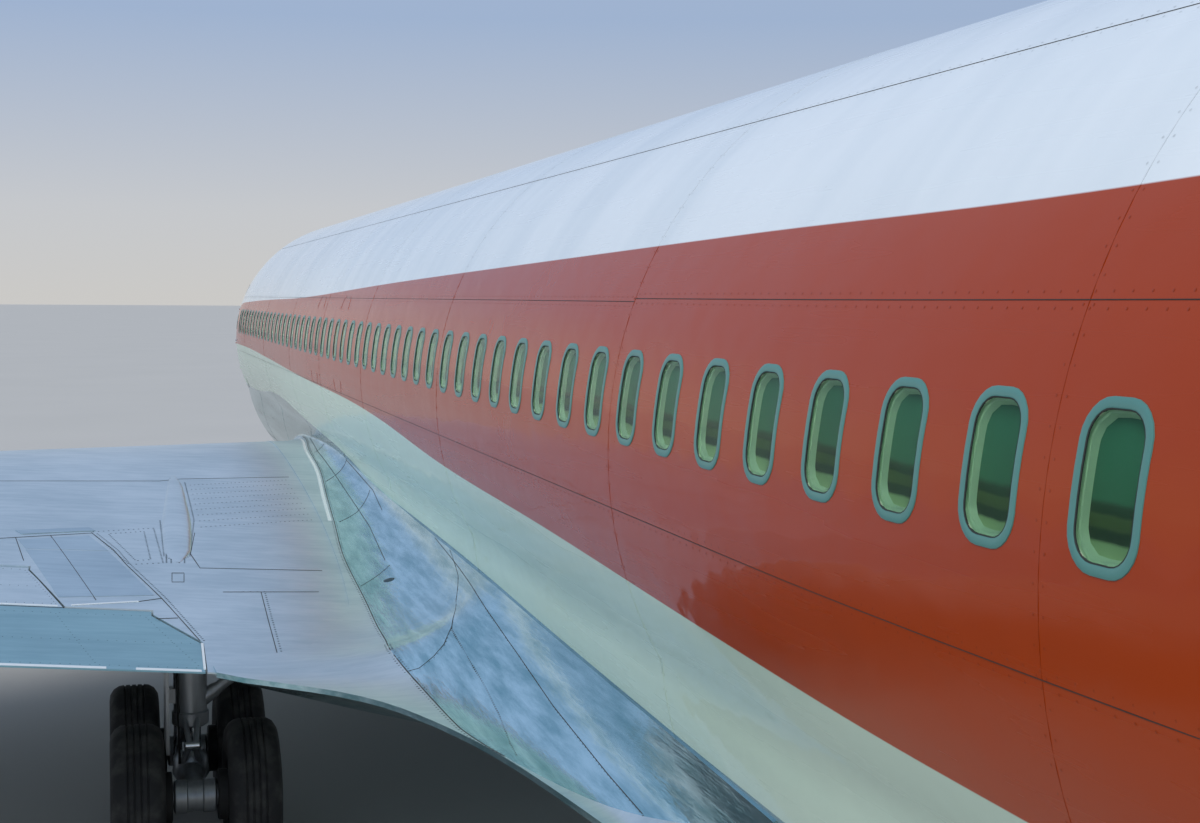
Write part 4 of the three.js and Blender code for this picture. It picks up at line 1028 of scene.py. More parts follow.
# Polished fillet metal: its blue tint and the dark stretched streaks in its colour are painted reflections of
# the sky and of ripples in the skin.
POLISHED_PAINTED_REFLECTIONS = metal(
    "polished_metal_painted_reflections", (0.56, 0.79, 0.87), (0.20, 0.42, 0.48),
    rough=(0.07, 0.24), grain=(1, 0.1, 1), bump=0.0022, cloud=0.14,
)
PANEL = metal("panel_metal", (0.60, 0.72, 0.77), (0.42, 0.54, 0.60), rough=(0.26, 0.42), grain=(0.12, 1, 1))
RIVETED = metal("rivet_metal", (0.09, 0.13, 0.15), (0.06, 0.09, 0.10), rough=(0.45, 0.6))
GREY = metal(
    "grey_paint", (0.24, 0.43, 0.50), (0.18, 0.34, 0.41), rough=(0.3, 0.5), metallic=0.45, grain=(0.12, 1, 1),
)
WHITE_PAINT = plain_paint("white_paint", WHITE, (0.62, 0.68, 0.69))
RED_PAINT = plain_paint("red_paint", RED, RED_WORN)
RADOME = plain_paint("radome_black", (0.02, 0.02, 0.022), (0.035, 0.034, 0.034), (0.35, 0.55), 0.0)
FRAME_GREY = plain_paint("window_frame", (0.085, 0.25, 0.23), (0.065, 0.20, 0.18), (0.3, 0.45), 0.1)
SEAL = plain_paint("seal", (0.012, 0.018, 0.016), (0.03, 0.035, 0.03), (0.6, 0.8), 0.0)
SEAM = plain_paint("seam_shadow", (0.014, 0.014, 0.012), (0.03, 0.028, 0.024), (0.6, 0.8), 0.0)
REVEAL = plain_paint("window_reveal", (0.56, 0.68, 0.46), (0.36, 0.50, 0.36), (0.45, 0.6), 0.0)
CABIN_SHADE = inner_pane_painted_shade()
PANE = glass("window_pane", (0.72, 0.9, 0.82), 1.0)
# Opaque near-black glass for the flight deck and door peep windows: the unlit room behind them is painted in
# as painted shade.
SHADED_DARK_GLASS = plain_paint("flight_deck_glass_painted_shade", (0.012, 0.02, 0.022), (0.03, 0.04, 0.04), (0.02, 0.06), 0.6)
STEEL = metal("gear_steel", (0.42, 0.44, 0.46), (0.24, 0.25, 0.26), rough=(0.3, 0.5), metallic=0.6)
CHROME = metal("chrome", (0.75, 0.77, 0.8), (0.6, 0.62, 0.65), rough=(0.05, 0.12))
HOT_STEEL = metal("engine_steel", (0.40, 0.37, 0.33), (0.20, 0.17, 0.14), rough=(0.25, 0.45))
# Near black: the colour of the gear's brakes, pipe and nose lamps, and painted shade where it fills the
# engine scoop's mouth.
DARK = plain_paint("dark_parts_and_scoop_shade", (0.012, 0.012, 0.013), (0.03, 0.028, 0.026), (0.6, 0.8), 0.0)
LEFT_LAMP = plain_paint("left_lamp", (0.55, 0.01, 0.01), (0.4, 0.01, 0.01), (0.03, 0.08), 0.8)
RIGHT_LAMP = plain_paint("right_lamp", (0.01, 0.38, 0.14), (0.01, 0.28, 0.10), (0.03, 0.08), 0.8)
RUBBER = rubber()


# Fuselage

RADOME_END = 950
NOSE_END = 5250
FORWARD_BREAK = window_station(41) - CELL_HALF[0]
CENTRE_BREAK = window_station(9) - CELL_HALF[0]
AFT_END = 37900
BODY_END = 44350
SEAT_GAP = 0.7
NOSE_WELL = {"half": 400, "front": 3450, "back": 4760, "foot": 1000, "rim": 1450, "ceiling": 2150}
LENGTHS = (
    # piece, start, end, its windows, the frame's piece it replaces
    ("forward_skin", NOSE_END + SEAT_GAP, FORWARD_BREAK, range(42, 52), "forward_fuselage"),
    ("centre_skin", FORWARD_BREAK + SEAT_GAP, CENTRE_BREAK, range(10, 42), "centre_fuselage"),
    ("aft_skin", CENTRE_BREAK + SEAT_GAP, AFT_END, range(-3, 10), "aft_fuselage"),
    ("tail_skin", AFT_END + SEAT_GAP, BODY_END, (), "tail_section"),
)


def on_well(middle):
    """Whether a face with this middle lies on a wall or the ceiling of the nose gear's well."""
    edge = min(
        NOSE_WELL["half"] - abs(middle.x),
        middle.y - y_of(NOSE_WELL["front"]),
        y_of(NOSE_WELL["back"]) - middle.y,
    )
    under = NOSE_WELL["ceiling"] - middle.z
    return edge > -1 and under > -1 and middle.z > NOSE_WELL["rim"] and (edge < 2 or under < 3)


def make_fuselage():
    make("radome_skin", skin_shape(0, RADOME_END), [RADOME], replaces=("radome",))
    well = block(
        (-NOSE_WELL["half"], NOSE_WELL["half"]),
        (y_of(NOSE_WELL["front"]), y_of(NOSE_WELL["back"])),
        (NOSE_WELL["foot"], NOSE_WELL["ceiling"]),
    )
    nose = carved(skin_shape(RADOME_END + SEAT_GAP, NOSE_END), [well])
    for number, face in enumerate(nose.faces):
        middle = sum((Vector(nose.points[i]) for i in face), Vector()) / len(face)
        if on_well(middle):
            nose.looks[number] = 1
    make("nose_skin", nose, [PAINT, REVEAL], replaces=("nose_section",))
    for name, start, end, windows, node in LENGTHS:
        make(name, skin_shape(start, end, windows), [PAINT, REVEAL, CABIN_SHADE], replaces=(node,))


FRAME_SECTION = ((0, -3), (1.5, 2.5), (4, 3.5), (25, 3.5), (28, 2.2), (30, 0.5), (30, -3), (4, -3))
SEAL_SECTION = ((28.5, 2.6), (32, 1.2), (32, -2), (28.5, -2))
PANE_INSET = 31
PANE_LIFTS = (-3, -6)


def make_windows():
    frames, seals, panes = Shape(), Shape(), Shape()
    half = tuple(h - PANE_INSET for h in WINDOW_HALF)
    for n in WINDOWS:
        spot = (window_station(n), WINDOW_ARC)
        skin_ring(frames, *spot, WINDOW_HALF, WINDOW_CORNER, FRAME_SECTION)
        skin_ring(seals, *spot, WINDOW_HALF, WINDOW_CORNER, SEAL_SECTION)
        skin_pane(panes, *spot, half, WINDOW_CORNER - PANE_INSET, PANE_LIFTS)
    make_both("window_frames", frames, [FRAME_GREY])
    make_both("window_seals", seals, [SEAL])
    make_both("window_panes", panes, [PANE])


def on_body(station, arc):
    """The body's skin and its outward direction, as every surface below gives them."""
    return skin_at(station, arc), skin_normal(station, arc)


def ribbon(shape, surface, line, width, lift, look=0, step=300):
    """A thin strip that follows a surface along a line of its own two values."""
    spots = []
    for start, end in zip(line, line[1:]):
        span = (surface(*end)[0] - surface(*start)[0]).length
        count = max(1, math.ceil(span / step))
        spots += [surface(*between(start, end, k / count)) for k in range(count)]
    spots.append(surface(*line[-1]))
    rings = []
    for k, (point, normal) in enumerate(spots):
        ahead = spots[min(k + 1, len(spots) - 1)][0] - spots[max(k - 1, 0)][0]
        side = normal.cross(ahead).normalized() * width / 2
        near, far = point - side, point + side
        rings.append([near - normal, near + normal * lift, far + normal * lift, far - normal])
    shape.loft(rings, look)


def rivet_row(shape, surface, line, pitch, radius, height, look=1):
    """Rivet heads at an even pitch along a line on a surface."""
    left = pitch / 2
    for start, end in zip(line, line[1:]):
        span = (surface(*end)[0] - surface(*start)[0]).length
        while left < span:
            point, normal = surface(*between(start, end, left / span))
            rivet(shape, point, normal, radius, height, look)
            left += pitch
        left -= span


def rivets_by(shape, surface, line, shifts, style):
    """Rivet rows along a line, shifted in the surface's own two values; style is pitch, radius, height."""
    for du, dv in shifts:
        rivet_row(shape, surface, [(u + du, v + dv) for u, v in line], *style)


PLATE_DEPTH = 2


def patch(shape, surface, corners, lift, look, cells):
    """A thin plate on a surface between four corners given round it."""
    shares = [k / cells for k in range(cells + 1)]
    places = [surface(*inside(corners, a, b)) for a in shares for b in shares]
    points = [point + normal * high for high in (lift, -PLATE_DEPTH) for point, normal in places]
    count = cells + 1
    faces = []
    for layer in (0, count * count):
        for i in range(cells):
            for j in range(cells):
                k = layer + i * count + j
                faces.append((k, k + 1, k + count + 1, k + count))
    rim = [*range(cells), *(i * count + cells for i in range(cells))]
    rim += [cells * count + cells - i for i in range(cells)] + [(cells - i) * count for i in range(cells)]
    for a, b in zip(rim, rim[1:] + rim[:1]):
        faces.append((a, b, b + count * count, a + count * count))
    shape.add(points, faces, look)


HOOPS = (5260, 8650, 12170, 15730, 18780, 21820, 25380, 29440, 32990, 37910)
HOOP_BREAK = 29440
LONG_SEAMS = (
    # first station, last station, arc
    (7000, 37900, arc_at(50.5)),
    (7000, HOOP_BREAK, arc_of(650)),
    (HOOP_BREAK, 37900, arc_of(663)),
    (7000, 37900, arc_of(-255)),
    (7000, 34000, 4700),
    (7000, 34000, 5500),
)
SKIN_RIVET = (75, 4.5, 0.9)
RIVETS_OFF = 22
HOOP_RIVETS = {"first": 60, "most": 300}


def make_seams():
    seams = Shape()
    for first, last, arc in LONG_SEAMS:
        line = [(first, arc), (last, arc)]
        ribbon(seams, on_body, line, width=2.4, lift=0.9, step=500)
        rivets_by(seams, on_body, line, ((0, -RIVETS_OFF), (0, RIVETS_OFF)), SKIN_RIVET)
    for station in HOOPS:
        ribbon(seams, on_body, [(station, 0), (station, KEEL_ARC)], width=2.4, lift=0.8, look=1, step=56)
        line = [(station, arc) for arc in steps(HOOP_RIVETS["first"], KEEL_ARC, HOOP_RIVETS["most"])]
        rivets_by(seams, on_body, line, ((-RIVETS_OFF, 0), (RIVETS_OFF, 0)), SKIN_RIVET)
    make_both("body_seams", seams, [SEAM, PAINT_SEAM])


DOORS = (
    # name, side, station of its middle, level of its middle, width, height
    ("door_forward_left", 1, 6000, 10, 860, 1830),
    ("door_aft_left", 1, 36050, 60, 860, 1830),
    ("door_forward_right", -1, 6000, -40, 610, 1220),
    ("door_aft_right", -1, 36050, 10, 610, 1220),
)
DOOR_GAP = {"corner": 180, "section": ((-4, -1), (-4, 1.4), (4, 1.4), (4, -1))}
DOOR_LINE = {"inset": 45, "corner": 150, "section": ((0, -1), (0, 2), (3, 2), (3, -1))}
PEEP = {"rise": 40, "half": (95, 130), "corner": 80, "section": ((0, -1), (0, 3.5), (14, 3.5), (16, -1))}
PEEP_PANE = {"half": (83, 118), "corner": 68, "lifts": (1.8, 0.4)}
HANDLE = {"drop": 60, "posts": 45, "ends": 75, "lift": 16, "radius": 10}
DOOR_HINGE = {"places": (-0.55, 0.1, 0.6), "before": 30, "over": 40, "lift": 6, "radius": 10}


def make_doors():
    for name, sign, station, level, width, height in DOORS:
        top, foot = (arc_of(level + share * height / 2) for share in (1, -1))
        arc = (top + foot) / 2
        half = (width / 2, (foot - top) / 2)
        inner = (half[0] - DOOR_LINE["inset"], half[1] - DOOR_LINE["inset"])
        peep = (station, WINDOW_ARC - PEEP["rise"])
        shape = Shape()
        skin_ring(shape, station, arc, half, DOOR_GAP["corner"], DOOR_GAP["section"], 1)
        skin_ring(shape, station, arc, inner, DOOR_LINE["corner"], DOOR_LINE["section"])
        skin_ring(shape, *peep, PEEP["half"], PEEP["corner"], PEEP["section"], 3)
        skin_pane(shape, *peep, PEEP_PANE["half"], PEEP_PANE["corner"], PEEP_PANE["lifts"], 4)
        handle_arc, lift = arc + HANDLE["drop"], HANDLE["lift"]
        for end in (-1, 1):
            post = (station + end * HANDLE["posts"], handle_arc)
            shape.join(plain_rod(body_point(*post, -2), body_point(*post, lift), 9, 12, 2))
        ends = (body_point(station + end * HANDLE["ends"], handle_arc, lift) for end in (-1, 1))
        shape.join(plain_rod(*ends, HANDLE["radius"], 12, 2))
        for share in DOOR_HINGE["places"]:
            ends = (station - half[0] + along for along in (-DOOR_HINGE["before"], DOOR_HINGE["over"]))
            ends = (body_point(end, arc + share * half[1], DOOR_HINGE["lift"]) for end in ends)
            shape.join(plain_rod(*ends, DOOR_HINGE["radius"], 10))
        looks = [PAINT, SEAM, CHROME, FRAME_GREY, SHADED_DARK_GLASS]
        make(f"{name}_trim", shape.on_side(sign), looks, replaces=(name,))


COCKPIT_PANES = (
    # corners as (station, degrees from the crown): front low, back low, back high, front high
    ((2215, 41), (1985, 3.5), (2800, 3), (2870, 33)),
    ((2290, 45), (2930, 36), (3400, 45), (3120, 61)),
    ((3200, 62), (3480, 46.5), (3960, 53), (3990, 64)),
    ((3010, 6), (3330, 6), (3420, 21), (3050, 24)),
    ((3090, 28), (3460, 25), (3540, 37), (3330, 39)),
)
PANE_FRAME = {"section": ((-0.07, -1), (-0.06, 9), (0.0, 11), (0.02, 4), (0.02, -1)), "corner": 0.13}
PANE_GLASS = {"half": 0.49, "corner": 0.12, "shares": (0.05, 0.35, 0.7, 1), "lifts": (-2, 5)}


def pane_ring(corners, half, corner, share, lift):
    """A rounded outline over a cockpit pane, in shares of the pane."""
    outline = rounded(half, half, corner)
    places = [inside(corners, 0.5 + u * share, 0.5 + v * share) for u, v in outline]
    return [body_point(station, math.radians(turn) * BODY_RADIUS, lift) for station, turn in places]


def make_cockpit():
    shape = Shape()
    for corners in COCKPIT_PANES:
        corner = PANE_FRAME["corner"]
        rings = [pane_ring(corners, 0.5 - inset, corner, 1, lift) for inset, lift in PANE_FRAME["section"]]
        shape.loft(rings, 0, closed=True)
        half, corner, shares, (low, high) = PANE_GLASS.values()
        layers = [pane_ring(corners, half, corner, share, low) for share in shares]
        layers += [pane_ring(corners, half, corner, share, high) for share in reversed(shares)]
        shape.loft(layers, 1)
    looks = [FRAME_GREY, SHADED_DARK_GLASS]
    make("cockpit_panes", shape.doubled(), looks, replaces=("cockpit_glazing",))


# Wings, tail and fillets

FILLET_ROWS = (
    # station, level of its top line on the body, outer edge, level of its foot on the body
    (12450, -1480, 1640, -1800),
    (13250, -1270, 1990, -2080),
    (15000, -1080, 2080, -2290),
    (17800, -1000, 2140, -2360),
    (21500, -1110, 2190, -2370),
    (24300, -1170, 2320, -2370),
    (25300, -1190, 2700, -2360),
    (25860, -1200, 3390, -2350),
    (26400, -1215, 2820, -2330),
    (27000, -1235, 2390, -2290),
    (28100, -1265, 2040, -2150),
    (29600, -1300, 1800, -1900),
    (30600, -1330, 1660, -1700),
)
FILLET_TAIL_LEVEL = -1650
FILLET_PROUD = 10
FILLET_TAIL_HALF = 16
FILLET_SETTLE = 700
FILLET_STEPS = 14
UPPER_STEPS = (13, 6)
FILLET_BORDER = (
    # station, distance out from the body where the polished fillet meets the wing's own skin
    (12450, 20),
    (15100, 43),
    (17380, 216),
    (18890, 299),
    (20460, 443),
    (21570, 549),
    (23020, 703),
    (23930, 755),
    (25050, 805),
    (27450, 800),
    (27715, 777),
    (28030, 726),
    (30600, 60),
)
BORDER_MOST = 0.985
FILLET_SEAMS = (
    # lines as (station, distance out from the body)
    ((15780, 23), (17500, 142), (19430, 207), (21170, 268), (22000, 307), (23200, 414)),
    ((17500, 178), (17135, 10)),
    ((19625, 343), (19015, 10)),
    ((21615, 512), (21320, 299), (20800, 64)),
    ((23820, 730), (23385, 414)),
    ((18950, 5), (20900, 44), (21720, 122)),
    (
        (23860, 8), (24780, 60), (25800, 130), (26440, 185), (26950, 228), (27800, 305), (28830, 365),
        (29370, 387),
    ),
    (
        (26238, 799), (26241, 729), (26144, 603), (26038, 499), (25807, 379), (25250, 246), (24920, 110),
        (24430, 6),
    ),
)
FILLET_RIVETS = ((25840, 394), (26410, 448), (26920, 495), (27370, 546), (27900, 623), (28100, 645))
FILLET_FITTING = {"place": (23777, 502), "profile": ((0, 44), (0.7, 44), (0.9, 34), (1, 6))}
FILLET_OFF = 8
FILLET_SUNK = 200
FILLET_BEND = {"upper": 0.18, "lower out": 0.5, "lower down": 0.65}
WING_START = 60


def off_body(level, outward):
    """A point off the body's side at a level, straight out from its lobe's centre, as (x, level)."""
    centre, radius = (0, BODY_RADIUS) if level > -CREASE_DROP else (-LOWER_DROP, LOWER_RADIUS)
    x = math.sqrt(radius**2 - (level - centre) ** 2)
    factor = (radius + outward) / radius
    return Vector((x * factor, centre + (level - centre) * factor))


def bend(a, turn, b, t):
    """A curve that leaves a and reaches b, each towards its turn."""
    return a * (1 - t) ** 2 + turn * 2 * t * (1 - t) + b * t * t


@functools.lru_cache(maxsize=4000)
def fillet_values(station):
    """The fillet's upper curve and lower curve at a station, each as its three guiding points."""
    top, edge, foot = (smooth(FILLET_ROWS, column, station) for column in (1, 2, 3))
    _, front, back, front_level, back_level, _ = row_at(WING, edge)
    if front + WING_START < station < back:
        high, low = (foil_at(WING, edge, station, side, FILLET_PROUD).z - BODY_Z for side in (1, -1))
    else:
        settled = min(max((station - back) / FILLET_SETTLE, 0), 1)
        before = station <= front + WING_START
        middle = front_level if before else lerp(back_level, FILLET_TAIL_LEVEL, 0.5 * settled)
        high, low = middle + FILLET_TAIL_HALF, middle - FILLET_TAIL_HALF
    a, b = off_body(top, FILLET_OFF), Vector((edge, high))
    turn = lerp(a.x, b.x, FILLET_BEND["upper"])
    upper = (a, Vector((turn, high - DIHEDRAL[0] * (edge - turn))), b)
    a, b = Vector((edge, low)), off_body(foot, FILLET_OFF)
    turn = (lerp(a.x, b.x, FILLET_BEND["lower out"]), lerp(a.y, b.y, FILLET_BEND["lower down"]))
    return upper, (a, Vector(turn), b)


def share_along(curve, distance, parts=40):
    """How far along a curve a distance reaches, as its share."""
    spots = [bend(*curve, k / parts) for k in range(parts + 1)]
    run = 0.0
    for k, (a, b) in enumerate(zip(spots, spots[1:])):
        reach = (b - a).length
        if run + reach >= distance:
            return (k + (distance - run) / reach) / parts
        run += reach
    return 1.0


def fillet_ring(station):
    upper, lower = fillet_values(station)
    border = min(share_along(upper, smooth(FILLET_BORDER, 1, station)), BORDER_MOST)
    shares = [border * k / UPPER_STEPS[0] for k in range(UPPER_STEPS[0])]
    shares += [lerp(border, 1, k / UPPER_STEPS[1]) for k in range(UPPER_STEPS[1] + 1)]
    points = [bend(*upper, t) for t in shares]
    points += [bend(*lower, k / FILLET_STEPS) for k in range(FILLET_STEPS + 1)]
    top, foot = smooth(FILLET_ROWS, 1, station), smooth(FILLET_ROWS, 3, station)
    points = [off_body(top, -FILLET_SUNK), *points, off_body(foot, -FILLET_SUNK)]
    return [Vector((p.x, y_of(station), z_of(p.y))) for p in points]


def on_fillet(station, distance):
    """The fillet's upper face, by station and distance out from the body."""

    along, across_it = 30, 15

    def at(place, out):
        upper = fillet_values(place)[0]
        spot = bend(*upper, share_along(upper, max(out, 0)))
        return Vector((spot.x, y_of(place), z_of(spot.y)))

    aft = at(station + along, distance) - at(station - along, distance)
    out = at(station, distance + across_it) - at(station, distance - across_it)
    return at(station, distance), out.cross(aft).normalized()


BORDER_LINE = {"from": 15000, "to": 28100, "most": 200, "shifts": ((0, -16), (0, 18))}
WHITE_LINE = {"to": 21700, "out": 34, "width": 34}
FILLET_RIVET = {"border": (46, 7.5, 2.2), "seam": (50, 6.5, 2.0), "outer": (34, 8, 2.4, 0)}


def fillet_details():
    """Seams with rivets, the border strip and a drain fitting on the fillet."""
    shape = Shape()
    stations = steps(BORDER_LINE["from"], BORDER_LINE["to"], BORDER_LINE["most"])
    border = [(station, smooth(FILLET_BORDER, 1, station)) for station in stations]
    ribbon(shape, on_fillet, border, width=7, lift=1.4)
    rivets_by(shape, on_fillet, border, BORDER_LINE["shifts"], FILLET_RIVET["border"])
    white = [(station, out + WHITE_LINE["out"]) for station, out in border if station < WHITE_LINE["to"]]
    ribbon(shape, on_fillet, white, width=WHITE_LINE["width"], lift=1.0, look=2)
    for line in FILLET_SEAMS:
        ribbon(shape, on_fillet, line, width=4.5, lift=1.2, step=80)
        rivets_by(shape, on_fillet, line, ((24, 4),), FILLET_RIVET["seam"])
    rivet_row(shape, on_fillet, FILLET_RIVETS, *FILLET_RIVET["outer"])
    point, normal = on_fillet(*FILLET_FITTING["place"])
    return shape.join(rod(point - normal * 4, point + normal * 5, FILLET_FITTING["profile"], look=1))


def fillet_shape():
    """The fillet, polished as far out as its border and plain metal beyond it."""
    stations = steps(FILLET_ROWS[0][0], FILLET_ROWS[-1][0], 150)
    rings = [fillet_ring(station) for station in stations]
    shape = Shape().loft(rings)
    for bay in range(len(rings) - 1):
        first = bay * len(rings[0]) + 1 + UPPER_STEPS[0]
        shape.looks[first:first + UPPER_STEPS[1]] = [1] * UPPER_STEPS[1]
    return shape


# The probe that points forward from the fin's top
PROBE_Z = 12760
PROBE_PROFILE = (
    (40900, 0), (40903, 12), (41500, 24), (42150, 46), (42500, 62), (42750, 64), (43100, 30), (43150, 0),
)


WING_LINES = (0.10, 0.26, 0.42, 0.57)
WING_RIBS = range(5200, 21400, 2000)
TAIL_LINES = (0.12, 0.36, 0.6)
TAIL_RIBS = range(1400, 6500, 1000)
TAIL_SPANS = range(1000, 6700, 700)
SKIN_LINES = (
    # piece, surface, side, shares of the chord, ribs, spans, rivet pitch
    ("wing", WING, 1, WING_LINES, WING_RIBS, (*range(5200, 21400, 1500), 21500), 110),
    ("wing", WING, -1, WING_LINES, WING_RIBS, (*range(2600, 21400, 1500), 21500), 150),
    ("stabiliser", STABILISER, 1, TAIL_LINES, TAIL_RIBS, TAIL_SPANS, 90),
    ("stabiliser", STABILISER, -1, TAIL_LINES, TAIL_RIBS, TAIL_SPANS, 90),
    ("fin", FIN, 1, TAIL_LINES, range(5900, 12500, 1100), range(5800, 12600, 600), 90),
)
ROOT_SEAMS = (
    # lines on the upper skin near the left wing's root, as (span, station)
    ((5600, 23150), (4800, 22770), (4126, 22440), (3960, 22995), (3870, 23440), (3640, 24330), (3426, 25280)),
    ((4437, 22600), (4083, 24440)),
    ((4692, 22720), (4600, 23450)),
    ((3796, 24433), (3640, 24330)),
    ((3547, 24793), (3690, 24830)),
    ((2928, 24052), (2939, 24732), (2950, 25860)),
    ((3545, 23625), (3457, 23610), (3468, 23868), (3554, 23883), (3545, 23625)),
    ((5200, 20340), (3525, 19893), (3333, 19720), (2250, 19300)),
    ((3315, 22262), (3383, 23009), (3332, 23439), (2400, 23350)),
    ((3203, 24096), (2500, 23980)),
    ((3425, 19684), (3480, 21790)),
    ((3368, 19669), (3422, 21777)),
)
ROOT_RIVETS = (
    # pitch, line
    (44, ((4135, 22400), (3640, 22150), (3600, 23335), (3850, 23430), (4135, 22400))),
    (44, ((4000, 22440), (3720, 22290), (3690, 23250), (3800, 23300), (4000, 22440))),
    (36, ((4090, 22440), (3930, 22980), (3840, 23430), (3610, 24320), (3400, 25270))),
    (40, ((3580, 21813), (3587, 23113), (3496, 23286), (3390, 23075), (3296, 21747), (3296, 19900))),
    (30, ((3535, 21990), (3575, 23320))),
    (30, ((3500, 21990), (3540, 23320))),
    (30, ((3425, 21970), (3480, 23310))),
    (30, ((3390, 21970), (3440, 23310))),
    (52, ((3080, 24070), (2900, 24040), (2910, 24740), (2920, 25840))),
    (60, ((2594, 25640), (2480, 25640))),
)
ROOT_RIVET_ROWS = {"count": 9, "first": (20070, 19480), "last": (22030, 21500), "spans": (3270, 2260)}
ROOT_RIVET = {"line": (8, 2.6), "rows": (46, 8, 2.4)}
ROOT_STRIPS = (
    # width, lift, look, line
    (130, 4, 2, ((4680, 22540), (4125, 22300))),
    (24, 2, 3, ((4240, 24590), (3800, 24432))),
    (16, 2, 3, ((3415, 25330), (3425, 25850))),
)
ROOT_PANELS = (
    # corners of darker plates by the root, as (span, station)
    ((4670, 22790), (4150, 22540), (4000, 23020), (4600, 23080)),
    ((4600, 23110), (4000, 23050), (3690, 24260), (4330, 24410)),
)
BLISTER = (
    # station, span, half width, height of the fairing over the mid-chord fitting
    (19480, 3392, 8, 1),
    (20000, 3395, 60, 14),
    (21000, 3420, 95, 26),
    (22000, 3450, 120, 32),
    (22900, 3478, 105, 24),
    (23290, 3496, 25, 2),
)
BLISTER_GRID = {"step": 120, "turns": 8, "sunk": 0.5, "foot": 5}


def blister(shape, surface, rows, look=0):
    """A low rounded fairing on a surface, lofted along its rows."""
    step, turns, sunk, foot = BLISTER_GRID.values()
    rings = []
    for station in steps(rows[0][0], rows[-1][0], step):
        span, half, height = (smooth(rows, column, station) for column in (1, 2, 3))
        ring = []
        for k in range(turns + 1):
            angle = math.pi * k / turns
            point, normal = surface(span + half * math.cos(angle), station)
            ring.append(point + normal * (height * math.sin(angle) - sunk))
        point, normal = surface(span, station)
        rings.append([*ring, point - normal * foot])
    shape.loft(rings, look)


WING_RIVET = {"share": (5, 1.8), "rib": (5, 2.0), "off": 24}


def skin_lines(shape, foil, side, shares, ribs, spans, pitch):
    """Panel seams with rivets along shares of the chord, and across at ribs."""
    surface, off = on_foil(foil, side), WING_RIVET["off"]
    for share in shares:
        line = share_line(foil, share, spans)
        ribbon(shape, surface, line, width=4, lift=1.6, step=600)
        rivets_by(shape, surface, line, ((0, -off), (0, off)), (pitch, *WING_RIVET["share"]))
    for span in ribs:
        line = [share_line(foil, share, [span])[0] for share in (shares[0], shares[-1])]
        ribbon(shape, surface, line, width=4, lift=1.8, step=150)
        rivets_by(shape, surface, line, ((-off, 0), (off, 0)), (pitch, *WING_RIVET["rib"]))


def root_details(shape):
    surface = on_foil(WING)
    for line in ROOT_SEAMS:
        ribbon(shape, surface, line, width=5, lift=1.8, step=120)
    for pitch, line in ROOT_RIVETS:
        rivet_row(shape, surface, line, pitch, *ROOT_RIVET["line"])
    count, first, last, spans = ROOT_RIVET_ROWS.values()
    for k in range(count):
        line = list(zip(spans, between(first, last, k / (count - 1))))
        rivet_row(shape, surface, line, *ROOT_RIVET["rows"])
    for width, lift, look, line in ROOT_STRIPS:
        ribbon(shape, surface, line, width, lift, look, step=150)
    for corners in ROOT_PANELS:
        patch(shape, surface, corners, 1.4, 2, 8)
    blister(shape, surface, BLISTER, 4)


TRIM_EDGE = 25
TRIM_FRONT = 50
TRIM_RIVET = (58, 4.5, 1.8)
TRIM_BAY = 620
TRIM_AFT = 0.95
TAB = ((0.15, 0.99), (0.15, 0.55), (0.45, 0.55), (0.45, 0.99))
WICK = {
    "on": ("aileron_outboard", "elevator"),
    "shares": (0.15, 0.4, 0.65, 0.9),
    "length": 105,
    "radius": 3.5,
}


def hinged_spot(row):
    """Places on a hinged piece as (span, station): share along it from its inner end, and share aft."""
    foil, kind, reach = row[1], row[2], row[7]
    origin, aft, _, along, length = hinge_frame(row)
    axis = 2 if foil is FIN else 0

    def place(share, back):
        first, last = TRIM_EDGE - inner_run(row, back), length - TRIM_EDGE
        point = origin + along * lerp(first, last, share) + aft * back
        return point[axis], point.y - y_of(0)

    def spot(share, out):
        depth = reach
        if kind != "spoiler":
            for _ in range(5):
                span, station = place(share, depth)
                depth += (row_at(foil, span)[2] - station) / aft.y
        return place(share, lerp(TRIM_FRONT, depth - TRIM_EDGE, out))

    return spot


def trim_shape(row):
    """Rivets, ribs, white trailing edge strips as painted highlights, a tab's outline and wicks on one moving
    surface.
    """
    name, foil, kind, span, _, end_span = row[:6]
    shape = Shape()
    surface = on_node(name if foil is FIN else f"{name}_left", foil)
    spot = hinged_spot(row)
    ribs = max(2, round((end_span - span) / TRIM_BAY))
    for k in range(ribs + 1):
        rivet_row(shape, surface, [spot(k / ribs, 0), spot(k / ribs, TRIM_AFT)], *TRIM_RIVET)
    for out in (0, 0.5, TRIM_AFT):
        rivet_row(shape, surface, [spot(0, out), spot(1, out)], *TRIM_RIVET)
    if kind == "spoiler":
        # a white strip along the spoiler's trailing edge: painted highlight
        ribbon(shape, surface, [spot(0, 1), spot(1, 1)], width=26, lift=2, look=2, step=200)
    elif kind == "both":
        ribbon(shape, surface, [spot(*place) for place in TAB], width=6, lift=2, step=150)
    elif name == "flap_inboard":
        # white strips along the flap's trailing edge: painted highlights
        for first, last in ((0, 0.09), (0.13, 1)):
            ribbon(shape, surface, [spot(first, 1), spot(last, 1)], width=40, lift=2.2, look=2, step=200)
    if name in WICK["on"]:
        for share in WICK["shares"]:
            foot = surface(*spot(share, 1))[0]
            tip = foot + Vector((0, WICK["length"], -WICK["radius"]))
            shape.join(plain_rod(foot, tip, WICK["radius"], 6, 1))
    return shape


def moving_trims():
    """The trim of each moving surface, riding with it."""
    for row in HINGED:
        name, shape = row[0], trim_shape(row)
        if row[1] is FIN:
            looks = [SEAM, RED_PAINT, WHITE_PAINT]
            make("rudder_trim", shape.doubled(), looks, body="rudder")
        else:
            make_both(f"{name}_trim", shape, [SEAM, RIVETED, WHITE_PAINT], body=name)


